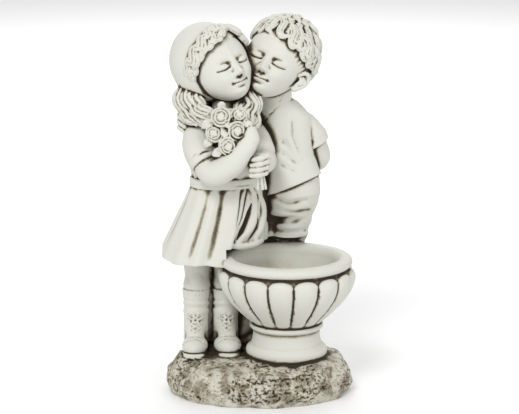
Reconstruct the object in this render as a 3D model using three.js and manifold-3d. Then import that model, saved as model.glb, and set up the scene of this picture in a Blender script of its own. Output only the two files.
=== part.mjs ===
// Cast-stone garden statue: a girl with a bunch of roses and a boy who kisses her cheek, standing on a
// rock behind a lobed planter bowl. Everything is one casting. Millimetres, +Z up, the front faces -Y,
// and the origin is the middle of the rock's underside.

import * as THREE from "three";
import { mergeVertices } from "three/addons/utils/BufferGeometryUtils.js";
import Module from "manifold-3d";

const wasm = await Module();
wasm.setup();

const clamp = THREE.MathUtils.clamp;
const smooth = THREE.MathUtils.smoothstep;
const lerp = THREE.MathUtils.lerp;
const radians = THREE.MathUtils.degToRad;

// Rock base
const ROCK_WIDTH = 300;
const ROCK_DEPTH = 268;
const ROCK_HEIGHT = 56;
const ROCK_EDGE = 30; // how far the top edge is rounded in
const ROCK_RELIEF = 5; // how far its lumps stand out
const ROCK_LEVEL = 1.5; // how uneven the top is

// Planter bowl
const BOWL_X = 43;
const BOWL_Y = -8;
const BOWL_HEIGHT = 165;
const BOWL_RADIUS = 110;
const BOWL_NECK_RADIUS = 54;
const BOWL_WAIST_RADIUS = 54;
const BOWL_FOOT_RADIUS = 65;
const BOWL_FOOT_HEIGHT = 57;
const BOWL_FOOT_BAND = 17;
const BOWL_SEAT = 2; // how deep the foot is sunk in the rock
const BEAD_HEIGHT = 9;
const BEAD_OUT = 4.5;
const BELLY_TUCK = 5; // how far the belly turns in again under the rim
const RIM_RADIUS = 104.5;
const RIM_WIDTH = 24;
const RIM_HEIGHT = 17;
const HOLLOW_DEPTH = 74;
const HOLLOW_FLOOR_RADIUS = 40;
const LOBES = 16;
const LOBE_DEPTH = 8;
const LOBE_TURN = radians(5.5);
const BOWL_GAP = 14; // room kept clear above the rim
const ROOM_INSET = 6; // how far what stands behind reaches into the rim

// Figures: heights, places and thicknesses are thousandths of this height, soles at 0 and crown at 1000
const FIGURE_HEIGHT = 544;
const FIGURE_SINK = 3; // how deep the soles are sunk in the rock

const TURN = Math.PI * 2;
const unit = FIGURE_HEIGHT / 1000;
const rockTop = ROCK_HEIGHT - ROCK_LEVEL;
const bowlSeat = rockTop - BOWL_SEAT;
const bellyTop = BOWL_HEIGHT - RIM_HEIGHT + 3;

const bump = (x, width) => Math.exp(-((x / width) ** 2));

// A point of the figures, from thousandths of their height to millimetres.
const place = ([x, y, z]) => new THREE.Vector3(x * unit, y * unit, rockTop - FIGURE_SINK + z * unit);

// Moves every vertex of a geometry by a function that writes the new place into the vector it is given.
function reshape(geometry, move) {
  const position = geometry.getAttribute("position");
  const point = new THREE.Vector3();
  for (let i = 0; i < position.count; i++) {
    point.fromBufferAttribute(position, i);
    move(point);
    position.setXYZ(i, point.x, point.y, point.z);
  }
  return geometry;
}

// A closed geometry as a solid that can be joined and cut.
function solid(geometry) {
  const bare = new THREE.BufferGeometry();
  bare.setAttribute("position", geometry.getAttribute("position"));
  bare.setIndex(geometry.getIndex());
  const merged = mergeVertices(bare, 1e-4);
  return new wasm.Manifold(
    new wasm.Mesh({
      numProp: 3,
      vertProperties: new Float32Array(merged.getAttribute("position").array),
      triVerts: new Uint32Array(merged.getIndex().array),
    }),
  );
}

const join = (solids) => solids.reduce((all, one) => all.add(one));

// A value that runs evenly through a list of stations, at t from 0 to 1.
function along(list, t) {
  const at = clamp(t, 0, 1) * (list.length - 1);
  const i = Math.min(Math.floor(at), list.length - 2);
  const f = at - i;
  return lerp(list[i], list[i + 1], f * f * (3 - 2 * f) * 0.5 + f * 0.5);
}

// A limb: a capsule bent along a curve through points, as thick as radii says at even stations.
// wide stretches its section across the direction that `out` gives, and flat thins it in that direction.
function limb(points, radii, { sides = 10, steps = 6, caps = 2, wide = 1, flat = 1, out = null } = {}) {
  const curve = new THREE.CatmullRomCurve3(points, false, "centripetal");
  const tangent = new THREE.Vector3();
  const normal = new THREE.Vector3();
  const side = new THREE.Vector3();
  return solid(
    reshape(new THREE.CapsuleGeometry(1, 1, caps, sides, steps), (p) => {
      const t = clamp(p.y + 0.5, 0, 1);
      const cap = p.y + 0.5 - t;
      const radius = along(radii, t);
      const centre = curve.getPoint(t);
      curve.getTangent(t, tangent);
      normal.copy(out ? out(centre) : new THREE.Vector3(0.13, -1, 0.21));
      normal.addScaledVector(tangent, -normal.dot(tangent)).normalize();
      side.crossVectors(tangent, normal);
      const x = p.x * radius * wide;
      const z = p.z * radius * flat;
      p.copy(centre).addScaledVector(tangent, cap * radius);
      p.addScaledVector(side, x).addScaledVector(normal, z);
    }),
  );
}

// A limb of a figure, given in thousandths.
const figureLimb = (points, radii, options) =>
  limb(points.map(place), radii.map((r) => r * unit), options);

// An egg shape of a figure: half sizes across, deep and high, turned about Z and leaned sideways.
function egg(centre, [rx, ry, rz], { turn = 0, lean = 0, columns = 12, rows = 8 } = {}) {
  const middle = place(centre);
  const tilt = new THREE.Euler(0, radians(lean), radians(turn), "ZYX");
  const shape = new THREE.SphereGeometry(1, columns, rows);
  return solid(
    reshape(shape, (p) => {
      p.set(p.x * rx * unit, -p.z * ry * unit, p.y * rz * unit);
      p.applyEuler(tilt).add(middle);
    }),
  );
}

// A body part made of level sections from the top down, each [z, x, y, half width, half depth]. The section is
// turned about Z, and `fold` gives how far the cloth stands out at an angle and a height from 0 to 1.
// Towards the bottom, `slope` lifts the figure's left side and `dip` lowers the front.
function trunk(levels, { turn = 0, columns = 16, rows = 7, slope = 0, dip = 0, fold = () => 0 } = {}) {
  const at = levels[0].map((_, i) => levels.map((level) => level[i]));
  const spin = radians(turn);
  const shape = new THREE.SphereGeometry(1, columns, rows);
  return solid(
    reshape(shape, (p) => {
      const rise = Math.acos(clamp(p.y, -1, 1)) / Math.PI;
      const angle = Math.atan2(p.x, p.z);
      const [z, x, y, halfWidth, halfDepth] = at.map((column) => along(column, rise));
      const round = Math.min(1, Math.sin(Math.PI * rise) * 2.2) ** 0.5;
      const reach = (1 + fold(angle, rise)) * round;
      const across = Math.sin(angle) * halfWidth * reach;
      const ahead = -Math.cos(angle) * halfDepth * reach;
      p.copy(
        place([
          x + across * Math.cos(spin) - ahead * Math.sin(spin),
          y + across * Math.sin(spin) + ahead * Math.cos(spin),
          z + rise ** 2 * (slope * across + dip * ahead),
        ]),
      );
    }),
  );
}

// A head: its middle, its height from chin to crown, and how it is turned. In its own frame the height
// is 1, x runs to the figure's left, the face looks along -y, and z is 0 halfway up.
class Head {
  constructor({ middle, height, turn, lean, nod }) {
    this.middle = place(middle);
    this.height = height * unit;
    this.tilt = new THREE.Matrix4().makeRotationY(radians(lean));
    this.tilt.multiply(new THREE.Matrix4().makeRotationZ(radians(turn)));
    this.tilt.multiply(new THREE.Matrix4().makeRotationX(radians(nod)));
  }

  // A point of the head's own frame, in millimetres of the part.
  point(x, y, z) {
    return new THREE.Vector3(x, y, z).multiplyScalar(this.height).applyMatrix4(this.tilt).add(this.middle);
  }

  // A point over the skull, by its bearing from the face, its height angle and its lift off the skull.
  overSkull(bearing, rise, lift = 0) {
    const a = radians(bearing);
    const b = radians(rise);
    const across = Math.cos(b) * (0.385 + lift);
    const deep = Math.cos(b) * (0.45 + lift);
    return this.point(Math.sin(a) * across, 0.05 - Math.cos(a) * deep, 0.1 + Math.sin(b) * (0.4 + lift));
  }

  // How far the features stand out of the face at x across and z up.
  relief(x, z) {
    const side = Math.abs(x);
    const nose = bump(x, 0.05) * smooth(z, -0.235, -0.17) * lerp(0.11, 0.015, smooth(z, -0.18, 0.06));
    const wings = bump(side - 0.05, 0.028) * bump(z + 0.19, 0.03) * 0.03;
    const lips = (bump(z + 0.285, 0.022) + bump(z + 0.325, 0.022)) * bump(x, 0.085) * 0.034;
    const chin = bump(x, 0.1) * bump(z + 0.43, 0.06) * 0.035;
    const cheeks = bump(side - 0.2, 0.11) * bump(z + 0.2, 0.12) * 0.03;
    const sockets = bump(side - 0.155, 0.085) * bump(z + 0.01, 0.06) * -0.045;
    const lids = bump(side - 0.16, 0.055) * bump(z + 0.03, 0.03) * 0.03;
    return nose + wings + lips + chin + cheeks + sockets + lids;
  }

  skull(columns = 20, rows = 15) {
    const shape = new THREE.SphereGeometry(1, columns, rows);
    return solid(
      reshape(shape, (p) => {
        const even = Math.atan2(p.x, p.z);
        const bearing = even - 0.5 * Math.sin(even);
        const fall = Math.acos(clamp(p.y, -1, 1));
        const up = Math.cos(fall + 0.25 * (Math.sin(2 * fall - 0.6) + Math.sin(0.6)));
        const round = Math.sqrt(Math.max(0, 1 - up * up));
        const low = Math.max(0, -up);
        const x = Math.sin(bearing) * round * (0.385 - 0.04 * low);
        const facing = Math.cos(bearing);
        const deep = facing > 0 ? round ** (1 - 0.2 * low) * (0.4 - 0.06 * low) : round * (0.46 - 0.06 * low);
        const z = up * 0.5;
        const face = this.relief(x, z) * smooth(facing, 0, 0.4) * smooth(round, 0, 0.4);
        p.copy(this.point(x, -facing * deep - 0.13 * low ** 1.6 - face, z));
      }),
    );
  }

  // A mass of wavy hair that falls from the crown, with `waves` ridges round it standing out by `depth`.
  hairMass(waves, depth, columns = 20, rows = 9) {
    const shape = new THREE.SphereGeometry(1, columns, rows);
    return solid(
      reshape(shape, (p) => {
        const bearing = Math.atan2(p.x, p.z);
        const fall = Math.acos(clamp(p.y, -1, 1));
        const ridge = Math.cos(bearing * waves + 1.6 * Math.sin(fall * 3.4));
        const swell = 1 + depth * ridge * Math.sin(fall) ** 0.7 * smooth(Math.PI - fall, 0.2, 0.9);
        p.copy(this.point(p.x * 0.445 * swell, 0.12 - p.z * 0.46 * swell, 0.09 + p.y * 0.49 * swell));
      }),
    );
  }

  // A lock of hair through points of the head, wider than thick, lying against the skull.
  lock(points, width, { sides = 4, steps = 3, flat = 0.65 } = {}) {
    const heart = this.point(0, 0.05, 0.08);
    return limb(points, [0.55, 1, 0.95, 0.35].map((share) => share * width * this.height), {
      sides,
      steps,
      caps: 1,
      flat,
      out: (p) => p.clone().sub(heart),
    });
  }
}

// The rock: a turned slab pushed out to a rounded oblong, with lumps all round.
function rock() {
  const edge = 1 - ROCK_EDGE / (ROCK_WIDTH / 2);
  const profile = [
    [0, 0],
    [0.96, 0],
    [1, 0.3],
    [0.99, 0.62],
    [edge + 0.08, 0.93],
    [edge - 0.06, 1],
    [0, 1],
  ].map(([r, h]) => new THREE.Vector2(r, h));
  return solid(
    reshape(new THREE.LatheGeometry(profile, 32), (p) => {
      const angle = Math.atan2(p.x, p.z);
      const reach = Math.hypot(p.x, p.z);
      const lump = Math.sin(angle * 5 + 1) + Math.sin(angle * 9 + p.y * 4) + Math.sin(angle * 14 + p.y * 7);
      const out = (lump / 3) * ROCK_RELIEF * smooth(reach, 0.5, 1);
      const oblong = (Math.abs(Math.sin(angle)) ** 2.4 + Math.abs(Math.cos(angle)) ** 2.4) ** (-1 / 2.4);
      const rough = p.y > 0.9 ? Math.sin(p.x * 11 + 2) * Math.sin(p.z * 9) * ROCK_LEVEL : 0;
      p.set(
        Math.sin(angle) * (oblong * reach * (ROCK_WIDTH / 2 - ROCK_RELIEF) + out),
        -Math.cos(angle) * (oblong * reach * (ROCK_DEPTH / 2 - ROCK_RELIEF) + out),
        p.y * (ROCK_HEIGHT - ROCK_LEVEL) + rough,
      );
    }),
  );
}

// Turns an outline of [radius, height] points about the bowl's axis, lowest point first, with `cut` taken
// off the radius at each bearing and height. `gather` draws the columns together at the grooves.
function turned(outline, columns, { cut = () => 0, gather = 0 } = {}) {
  const shape = new THREE.LatheGeometry(outline.map(([r, z]) => new THREE.Vector2(r, z)), columns);
  return solid(
    reshape(shape, (p) => {
      const radius = Math.hypot(p.x, p.z);
      const even = Math.atan2(p.x, p.z);
      const angle = even - (gather / LOBES) * Math.sin(even * LOBES) + LOBE_TURN;
      const kept = Math.max(radius - cut(even, radius, p.y), 0);
      p.set(BOWL_X + Math.sin(angle) * kept, BOWL_Y - Math.cos(angle) * kept, bowlSeat + p.y);
    }),
  );
}

// Radius of the belly at a share of its height: it swells out and turns in again under the rim.
const bellyRadius = (share) =>
  BOWL_NECK_RADIUS +
  (BOWL_RADIUS - BOWL_NECK_RADIUS) * Math.sin(Math.min(share / 0.84, 1) * (Math.PI / 2)) ** 0.95 -
  BELLY_TUCK * smooth(share, 0.84, 1);

// How deep the belly is cut between its lobes, which end in round arches under the rim.
function lobeCut(angle, radius, height) {
  const share = (height - BOWL_FOOT_HEIGHT) / (bellyTop - BOWL_FOOT_HEIGHT);
  if (share < 0 || share > 1 || radius < RIM_RADIUS - RIM_WIDTH - 1 && height > BOWL_HEIGHT / 2) return 0;
  const crest = Math.abs(Math.sin((angle * LOBES) / 2)) ** 0.6;
  return LOBE_DEPTH * smooth(share, 0, 0.2) * Math.max(1 - crest, smooth(share, 0.84, 0.97));
}

// The dish: lobed belly, fat rolled rim and shallow hollow in one outline.
function dish() {
  const sides = [0, 0.24, 0.55, 0.84, 0.97].map((share) => [
    bellyRadius(share),
    lerp(BOWL_FOOT_HEIGHT, bellyTop, share),
  ]);
  const middle = RIM_RADIUS - RIM_WIDTH / 2;
  const roll = [-0.7, 0.2, 1.2].map((turn) => {
    const a = turn * (Math.PI / 2);
    return [middle + Math.cos(a) * (RIM_WIDTH / 2), BOWL_HEIGHT + (Math.sin(a) - 1) * (RIM_HEIGHT / 2)];
  });
  const floor = BOWL_HEIGHT - HOLLOW_DEPTH;
  const hollow = [0.5, 1].map((share) => [
    lerp(middle - RIM_WIDTH / 2, HOLLOW_FLOOR_RADIUS, share ** 2),
    lerp(BOWL_HEIGHT - RIM_HEIGHT, floor, share),
  ]);
  return turned([[0, BOWL_FOOT_HEIGHT - 2], ...sides, ...roll, ...hollow, [0, floor]], LOBES * 3, {
    cut: lobeCut,
    gather: 0.45,
  });
}

// The foot: a band on the rock, a hollow waist and a bead under the belly.
function foot() {
  const band = BOWL_FOOT_BAND;
  return turned(
    [
      [0, 0],
      [BOWL_FOOT_RADIUS - 1, 0],
      [BOWL_FOOT_RADIUS, band * 0.8],
      [BOWL_WAIST_RADIUS, band * 1.5],
      [BOWL_WAIST_RADIUS, BOWL_FOOT_HEIGHT - BEAD_HEIGHT],
      [BOWL_NECK_RADIUS + BEAD_OUT, BOWL_FOOT_HEIGHT - BEAD_HEIGHT / 2],
      [BOWL_NECK_RADIUS - 2, BOWL_FOOT_HEIGHT + 1],
      [0, BOWL_FOOT_HEIGHT + 1],
    ],
    20,
  );
}

const bowl = () => dish().add(foot());

// The room that the bowl and its opening take from the figures behind it.
function bowlRoom() {
  const top = BOWL_HEIGHT + BOWL_GAP;
  const side = [0.05, 0.4, 0.8].map((share) => [
    bellyRadius(share) - LOBE_DEPTH - 2,
    lerp(BOWL_FOOT_HEIGHT, bellyTop, share),
  ]);
  const outline = [[0, side[0][1]], ...side, [RIM_RADIUS - ROOM_INSET, bellyTop], [RIM_RADIUS - ROOM_INSET, top]];
  return turned([...outline, [0, top]], 18);
}

// The foot of a boot: an upper with a round toe, on a thick sole.
function boot([x, y], { turn = 0, width = 37, length = 132 }) {
  const a = radians(turn);
  const ahead = (d) => [x + Math.sin(a) * d, y - Math.cos(a) * d];
  return [
    egg([...ahead(length * 0.36), 24], [width, length * 0.46, 31], { turn, columns: 9, rows: 6 }),
    figureLimb(
      [[...ahead(-16), 8], [...ahead(length * 0.4), 8], [...ahead(length * 0.68), 8]],
      [34, width, width * 0.8],
      { sides: 6, steps: 3, caps: 1, flat: 0.35, out: () => new THREE.Vector3(0, 0, 1) },
    ),
  ];
}

// Four fingers side by side from knuckles to tips, bent round what they hold.
function fingers(knuckle, tip, spread, bulge, radius, count = 4) {
  return Array.from({ length: count }, (_, i) => {
    const shift = (i - (count - 1) / 2) / (count - 1);
    const from = knuckle.map((v, k) => v + spread[k] * shift);
    const to = tip.map((v, k) => v + spread[k] * shift * 0.9);
    const bend = from.map((v, k) => (v + to[k]) / 2 + bulge[k]);
    return figureLimb([from, bend, to], [radius, radius, radius * 0.85], { sides: 4, steps: 2, caps: 1 });
  });
}

const girlHead = new Head({ middle: [-119, 22, 860], height: 226, turn: 36, lean: -27, nod: -4 });
const boyHead = new Head({ middle: [47, 86, 864], height: 234, turn: -38, lean: 25, nod: 12 });

function girlHair() {
  const cap = solid(
    reshape(new THREE.SphereGeometry(1, 12, 8), (p) => {
      const swell = 1 + 0.05 * smooth(-p.y, 0.1, 0.6);
      p.copy(girlHead.point(p.x * 0.47 * swell - 0.02, 0.17 - p.z * 0.49 * swell, 0.1 + p.y * 0.51));
    }),
  );
  const brow = [-88, -56, -28, 0, 28, 58].map((bearing, i) => {
    const sway = i % 2 ? 9 : -9;
    const drop = (Math.abs(bearing) / 90) ** 2 * 34;
    return girlHead.lock(
      [
        girlHead.overSkull(bearing, 56 - drop * 0.5, 0.03),
        girlHead.overSkull(bearing - sway, 42 - drop * 0.8, 0.06),
        girlHead.overSkull(bearing + sway, 30 - drop, 0.05),
        girlHead.overSkull(bearing - sway * 0.4, 20 - drop * 1.1, 0.03),
      ],
      0.085,
    );
  });
  const fall = [
    [[-196, 14, 800], [-206, 2, 748], [-188, -20, 712], [-168, -60, 690]],
    [[-172, -6, 795], [-178, -28, 742], [-158, -50, 716], [-146, -70, 680]],
    [[-56, 20, 780], [-26, -10, 745], [-30, -42, 712], [-50, -62, 690]],
    [[-206, 60, 800], [-206, 66, 740], [-190, 76, 680], [-188, 84, 640]],
  ].map((points) => figureLimb(points, [19, 26, 22, 9], { sides: 5, steps: 3, caps: 1, wide: 1.15, flat: 0.8 }));
  const back = figureLimb([[-150, 84, 810], [-136, 92, 740], [-132, 108, 680], [-132, 118, 640]], [48, 52, 46, 20], {
    sides: 8,
    steps: 3,
    caps: 1,
    wide: 1.2,
    flat: 0.6,
    out: () => new THREE.Vector3(-0.2, 1, 0),
  });
  return [cap, ...brow, ...fall, back];
}

function girlBody() {
  const levels = [
    [534, -95, 62, 100, 80],
    [526, -95, 62, 114, 90],
    [502, -95, 62, 114, 90],
    [496, -96, 62, 112, 86],
    [455, -102, 63, 124, 98],
    [410, -111, 64, 136, 110],
    [355, -123, 66, 150, 122],
    [310, -135, 66, 160, 130],
    [300, -139, 66, 163, 132],
    [306, -139, 66, 146, 112],
  ];
  const valleys = [
    [-1.15, 0.16, 0.06],
    [-0.62, 0.15, 0.12],
    [0.02, 0.17, 0.2],
    [0.5, 0.14, 0.08],
    [0.95, 0.15, 0.1],
    [1.6, 0.2, 0.08],
    [2.25, 0.22, 0.1],
    [2.95, 0.22, 0.1],
    [-2.5, 0.22, 0.1],
    [-1.75, 0.2, 0.08],
  ];
  const skirt = trunk(levels, {
    turn: 28,
    columns: 30,
    rows: 8,
    slope: 0.07,
    dip: 0.2,
    fold: (angle, rise) => {
      const deep = valleys.reduce((sum, [at, width, depth]) => {
        const away = Math.atan2(Math.sin(angle - at), Math.cos(angle - at));
        return sum + bump(away, width) * depth;
      }, 0);
      return 0.03 - deep * smooth(rise, 0.35, 0.7);
    },
  });
  const blouse = trunk(
    [
      [726, -94, 52, 40, 36],
      [704, -98, 56, 76, 56],
      [665, -102, 58, 98, 74],
      [610, -100, 58, 104, 84],
      [560, -98, 59, 110, 86],
      [515, -95, 62, 100, 78],
    ],
    { turn: 28, columns: 12, rows: 5 },
  );
  const neck = figureLimb([[-98, 52, 700], [-100, 34, 790]], [40, 38], { sides: 7, steps: 1, caps: 1 });
  return [skirt, blouse, neck];
}

function girlArms() {
  const rightSleeve = figureLimb(
    [[-168, 30, 668], [-177, 4, 636], [-164, -30, 598], [-156, -38, 588]],
    [42, 47, 49, 49, 42],
    { sides: 8, steps: 4, caps: 1 },
  );
  const rightArm = figureLimb(
    [[-160, -34, 588], [-134, -68, 560], [-84, -92, 586], [-40, -100, 640], [-24, -96, 664]],
    [37, 39, 36, 30, 25],
    { sides: 8, steps: 6 },
  );
  const leftSleeve = figureLimb([[-35, 92, 668], [-10, 64, 630], [6, 36, 604]], [40, 43, 40], {
    sides: 8,
    steps: 2,
    caps: 1,
  });
  const leftArm = figureLimb([[2, 40, 610], [14, 0, 584], [8, -52, 588], [4, -76, 588]], [34, 36, 31, 26], {
    sides: 8,
    steps: 4,
    caps: 1,
  });
  const palm = egg([5, -86, 588], [24, 20, 33], { turn: 20, columns: 8, rows: 5 });
  const grip = fingers([18, -106, 592], [-24, -104, 582], [6, 0, 50], [0, -12, 0], 8.5);
  return [rightSleeve, rightArm, leftSleeve, leftArm, palm, ...grip];
}

// A rose: a cupped bud whose petals wind round the middle. It faces along `way`.
function rose(centre, radius, way, phase) {
  const axis = new THREE.Vector3(...way).normalize();
  const spin = new THREE.Quaternion().setFromUnitVectors(new THREE.Vector3(0, 1, 0), axis);
  const middle = place(centre);
  const shape = new THREE.SphereGeometry(1, 8, 6);
  return solid(
    reshape(shape, (p) => {
      const off = Math.acos(clamp(p.y, -1, 1));
      const around = Math.atan2(p.x, p.z);
      const petals = Math.abs(Math.sin((around + phase) * 1.5 + off * 2.5));
      const ring = smooth(off, 0.3, 1) * smooth(Math.PI - off, 0, 0.8);
      const swell = 1 + 0.14 * petals * ring - 0.12 * bump(off - 0.55, 0.22);
      p.multiplyScalar(radius * unit * swell).applyQuaternion(spin).add(middle);
    }),
  );
}

function bouquet() {
  const roses = [
    [[-108, -86, 724], 29, [-0.15, -1, 0.35], 0],
    [[-126, -84, 680], 26, [-0.3, -1, 0.05], 1],
    [[-64, -92, 686], 29, [0.2, -1, 0.1], 2],
    [[-88, -100, 646], 27, [0, -1, -0.1], 3],
    [[-60, -74, 728], 24, [0.25, -1, 0.4], 4],
  ].map(([centre, radius, way, phase]) => rose(centre, radius, way, phase));
  const heart = egg([-84, -58, 690], [60, 36, 58], { columns: 7, rows: 5 });
  const leaves = [
    [[-130, -70, 704], [-150, -80, 696], [-158, -78, 680]],
    [[-100, -84, 632], [-118, -90, 622], [-128, -82, 616]],
  ].map((points) => figureLimb(points, [10, 15, 3], { sides: 5, steps: 2, caps: 1, flat: 0.4 }));
  const stems = [0, 1, 2].map((i) => {
    const dx = Math.cos((i / 3) * TURN) * 7;
    const dy = Math.sin((i / 3) * TURN) * 7;
    return figureLimb(
      [[-46 + dx, -84 + dy, 640], [-22 + dx, -92 + dy, 600], [4 + dx * 1.4, -92 + dy, 518]],
      [8, 7, 7],
      { sides: 4, steps: 2, caps: 1 },
    );
  });
  return [heart, ...roses, ...leaves, ...stems];
}

function girlLegs() {
  const thick = [37, 40, 36, 41, 37, 35, 33, 35];
  const paths = [
    [[-186, 66, 310], [-185, 64, 215], [-186, 62, 160], [-188, 62, 30]],
    [[-98, 76, 310], [-98, 74, 215], [-99, 70, 160], [-101, 66, 30]],
  ];
  return [
    ...paths.map((points) => figureLimb(points, thick, { sides: 7, steps: 7, caps: 1 })),
    ...boot([-188, 60], { turn: -3, width: 38, length: 130 }),
    ...boot([-101, 66], { turn: 8, width: 41, length: 128 }),
  ];
}

function boyHair() {
  const fringe = [-76, -36, 4, 44, 80].map((bearing, i) => {
    const sway = i % 2 ? 10 : -10;
    const drop = (Math.abs(bearing) / 90) ** 2 * 44;
    return boyHead.lock(
      [
        boyHead.overSkull(bearing - sway, 66 - drop * 0.4, 0.03),
        boyHead.overSkull(bearing + sway, 52 - drop * 0.7, 0.06),
        boyHead.overSkull(bearing - sway, 40 - drop * 0.9, 0.05),
        boyHead.overSkull(bearing + sway * 0.6, 32 - drop, 0.03),
      ],
      0.12,
    );
  });
  const ear = limb(
    [
      boyHead.point(0.35, -0.06, -0.1),
      boyHead.point(0.44, 0.01, -0.06),
      boyHead.point(0.45, 0.07, -0.14),
      boyHead.point(0.4, 0.02, -0.24),
      boyHead.point(0.34, -0.05, -0.26),
    ],
    [0.022, 0.03, 0.032, 0.028, 0.035].map((share) => share * boyHead.height),
    { sides: 5, steps: 4, caps: 1 },
  );
  return [boyHead.hairMass(7, 0.06), ...fringe, ear];
}

function boyBody() {
  const shirt = trunk(
    [
      [766, 52, 122, 40, 36],
      [742, 58, 128, 50, 44],
      [714, 64, 134, 70, 56],
      [685, 68, 138, 84, 64],
      [630, 72, 138, 88, 70],
      [560, 76, 138, 88, 72],
      [500, 82, 138, 98, 82],
      [480, 84, 138, 102, 84],
      [472, 84, 138, 86, 66],
    ],
    { turn: -14, columns: 12, rows: 7, slope: 0.55 },
  );
  const neck = figureLimb([[50, 122, 716], [50, 104, 800]], [46, 44], { sides: 7, steps: 1, caps: 1 });
  const leftSleeve = figureLimb(
    [[104, 144, 682], [132, 148, 656], [152, 152, 628], [162, 156, 604]],
    [38, 44, 47, 47],
    { sides: 8, steps: 3, caps: 1 },
  );
  const leftArm = figureLimb(
    [[162, 158, 606], [174, 180, 562], [160, 206, 544], [110, 226, 560], [76, 226, 578]],
    [36, 37, 33, 28, 24],
    { sides: 6, steps: 5, caps: 1 },
  );
  const leftHand = egg([62, 224, 584], [30, 16, 24], { turn: 4, columns: 6, rows: 4 });
  const rightArm = figureLimb(
    [[10, 150, 690], [-70, 168, 668], [-150, 142, 668], [-205, 96, 690]],
    [44, 40, 34, 27],
    { sides: 6, steps: 4, caps: 1 },
  );
  const rightHand = egg([-210, 78, 698], [18, 26, 30], { turn: -20, columns: 7, rows: 5 });
  const grip = fingers([-222, 72, 704], [-216, 14, 688], [0, 0, 52], [-14, -6, 4], 9);
  return [shirt, neck, leftSleeve, leftArm, leftHand, rightArm, rightHand, ...grip];
}

function boyLegs() {
  const hips = trunk(
    [
      [545, 88, 142, 60, 56],
      [515, 90, 142, 88, 76],
      [462, 90, 144, 92, 80],
      [415, 82, 146, 84, 76],
      [385, 78, 148, 60, 60],
    ],
    { turn: -12, columns: 10, rows: 5 },
  );
  const trousers = [
    [[116, 144, 450], [98, 148, 380], [86, 150, 312]],
    [[40, 150, 450], [10, 158, 380], [0, 160, 312]],
  ].map((points) => figureLimb(points, [62, 57, 55, 53], { sides: 8, steps: 2, caps: 1 }));
  const legs = [
    [[86, 152, 330], [84, 162, 24]],
    [[0, 160, 330], [-6, 166, 24]],
  ].map((points) => figureLimb(points, [38, 38, 34], { sides: 6, steps: 1, caps: 1 }));
  const boots = [
    [[90, 136, 24], 8],
    [[-12, 134, 24], -10],
  ].map(([toe, turn]) => egg(toe, [38, 66, 30], { turn, columns: 6, rows: 4 }));
  return [hips, ...trousers, ...legs, ...boots];
}

// The web of stone that the mould leaves between the four legs.
const web = () =>
  trunk(
    [
      [330, -70, 112, 96, 22],
      [280, -64, 112, 118, 26],
      [150, -56, 112, 118, 28],
      [30, -50, 112, 140, 34],
      [-12, -50, 112, 140, 34],
    ],
    { columns: 10, rows: 4 },
  );

const figures = join([
  web(),
  ...girlBody(),
  ...girlArms(),
  ...girlLegs(),
  ...bouquet(),
  girlHead.skull(),
  ...girlHair(),
  ...boyBody(),
  ...boyLegs(),
  boyHead.skull(),
  ...boyHair(),
]);

// The casting, with any pocket that closed inside it left filled.
const shells = join([figures.subtract(bowlRoom()), bowl(), rock()]).decompose();
const cast = join(shells.filter((shell) => shell.volume() > 0));

const { numProp, vertProperties, triVerts } = cast.getMesh();
const castGeometry = new THREE.BufferGeometry();
castGeometry.setAttribute("position", new THREE.BufferAttribute(vertProperties, numProp));
castGeometry.setIndex(new THREE.BufferAttribute(triVerts, 1));
castGeometry.computeVertexNormals();

const stone = new THREE.MeshStandardMaterial({ color: 0xdcdcd2, roughness: 0.85, metalness: 0 });
const statue = new THREE.Mesh(castGeometry, stone);
statue.name = "statue";

const group = new THREE.Group();
group.add(statue);

export default group;
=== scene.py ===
"""Cast-stone garden statue: a girl with roses and a boy who kisses her cheek, behind a lobed planter bowl.

The casting is carved in millimetres in a field of distances, form by form, and then drawn as one skin.
+Z is up, the figures face -Y, and the origin is the middle of the rock's underside.
"""

import logging
import math
from dataclasses import dataclass, field
from enum import Enum, IntEnum
from typing import Callable, Iterator, Sequence

import bmesh
import bpy
import numpy as np
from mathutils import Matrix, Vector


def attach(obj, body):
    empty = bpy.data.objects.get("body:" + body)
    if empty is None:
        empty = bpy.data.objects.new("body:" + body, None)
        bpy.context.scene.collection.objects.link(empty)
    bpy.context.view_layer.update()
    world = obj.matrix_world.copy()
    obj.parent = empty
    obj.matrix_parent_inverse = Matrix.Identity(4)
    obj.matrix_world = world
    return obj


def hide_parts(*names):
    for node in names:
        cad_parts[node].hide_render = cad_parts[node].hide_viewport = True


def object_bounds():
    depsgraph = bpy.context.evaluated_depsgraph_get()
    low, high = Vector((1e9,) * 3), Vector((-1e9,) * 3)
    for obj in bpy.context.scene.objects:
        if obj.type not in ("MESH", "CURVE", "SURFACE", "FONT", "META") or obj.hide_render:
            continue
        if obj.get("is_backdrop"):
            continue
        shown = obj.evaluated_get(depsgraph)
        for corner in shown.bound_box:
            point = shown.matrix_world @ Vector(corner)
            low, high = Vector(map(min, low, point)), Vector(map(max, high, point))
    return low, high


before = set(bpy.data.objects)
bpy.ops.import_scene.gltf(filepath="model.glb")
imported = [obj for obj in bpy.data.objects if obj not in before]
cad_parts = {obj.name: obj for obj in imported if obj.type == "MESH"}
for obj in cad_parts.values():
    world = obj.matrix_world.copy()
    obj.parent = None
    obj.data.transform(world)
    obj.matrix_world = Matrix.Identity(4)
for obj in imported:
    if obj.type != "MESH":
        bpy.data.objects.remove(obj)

import openvdb as vdb

log = logging.getLogger("statue")

MM = 0.001
TURN = 2.0 * math.pi
NODE = "statue"
SLOT = "cast_stone"

PRIMES = (73856093, 19349663, 83492791, 2654435761, 1274126177)
HASHES = 65536
NOISE_OFFSET = 1000.0
CORNERS = np.array([[i & 1, (i >> 1) & 1, i >> 2] for i in range(8)])
VIEWED = (0.0, 0.978, -0.208)
FROM_BEHIND = (0.0, -1.0, 0.0)

Point = Sequence[float]
Array = np.ndarray


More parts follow.
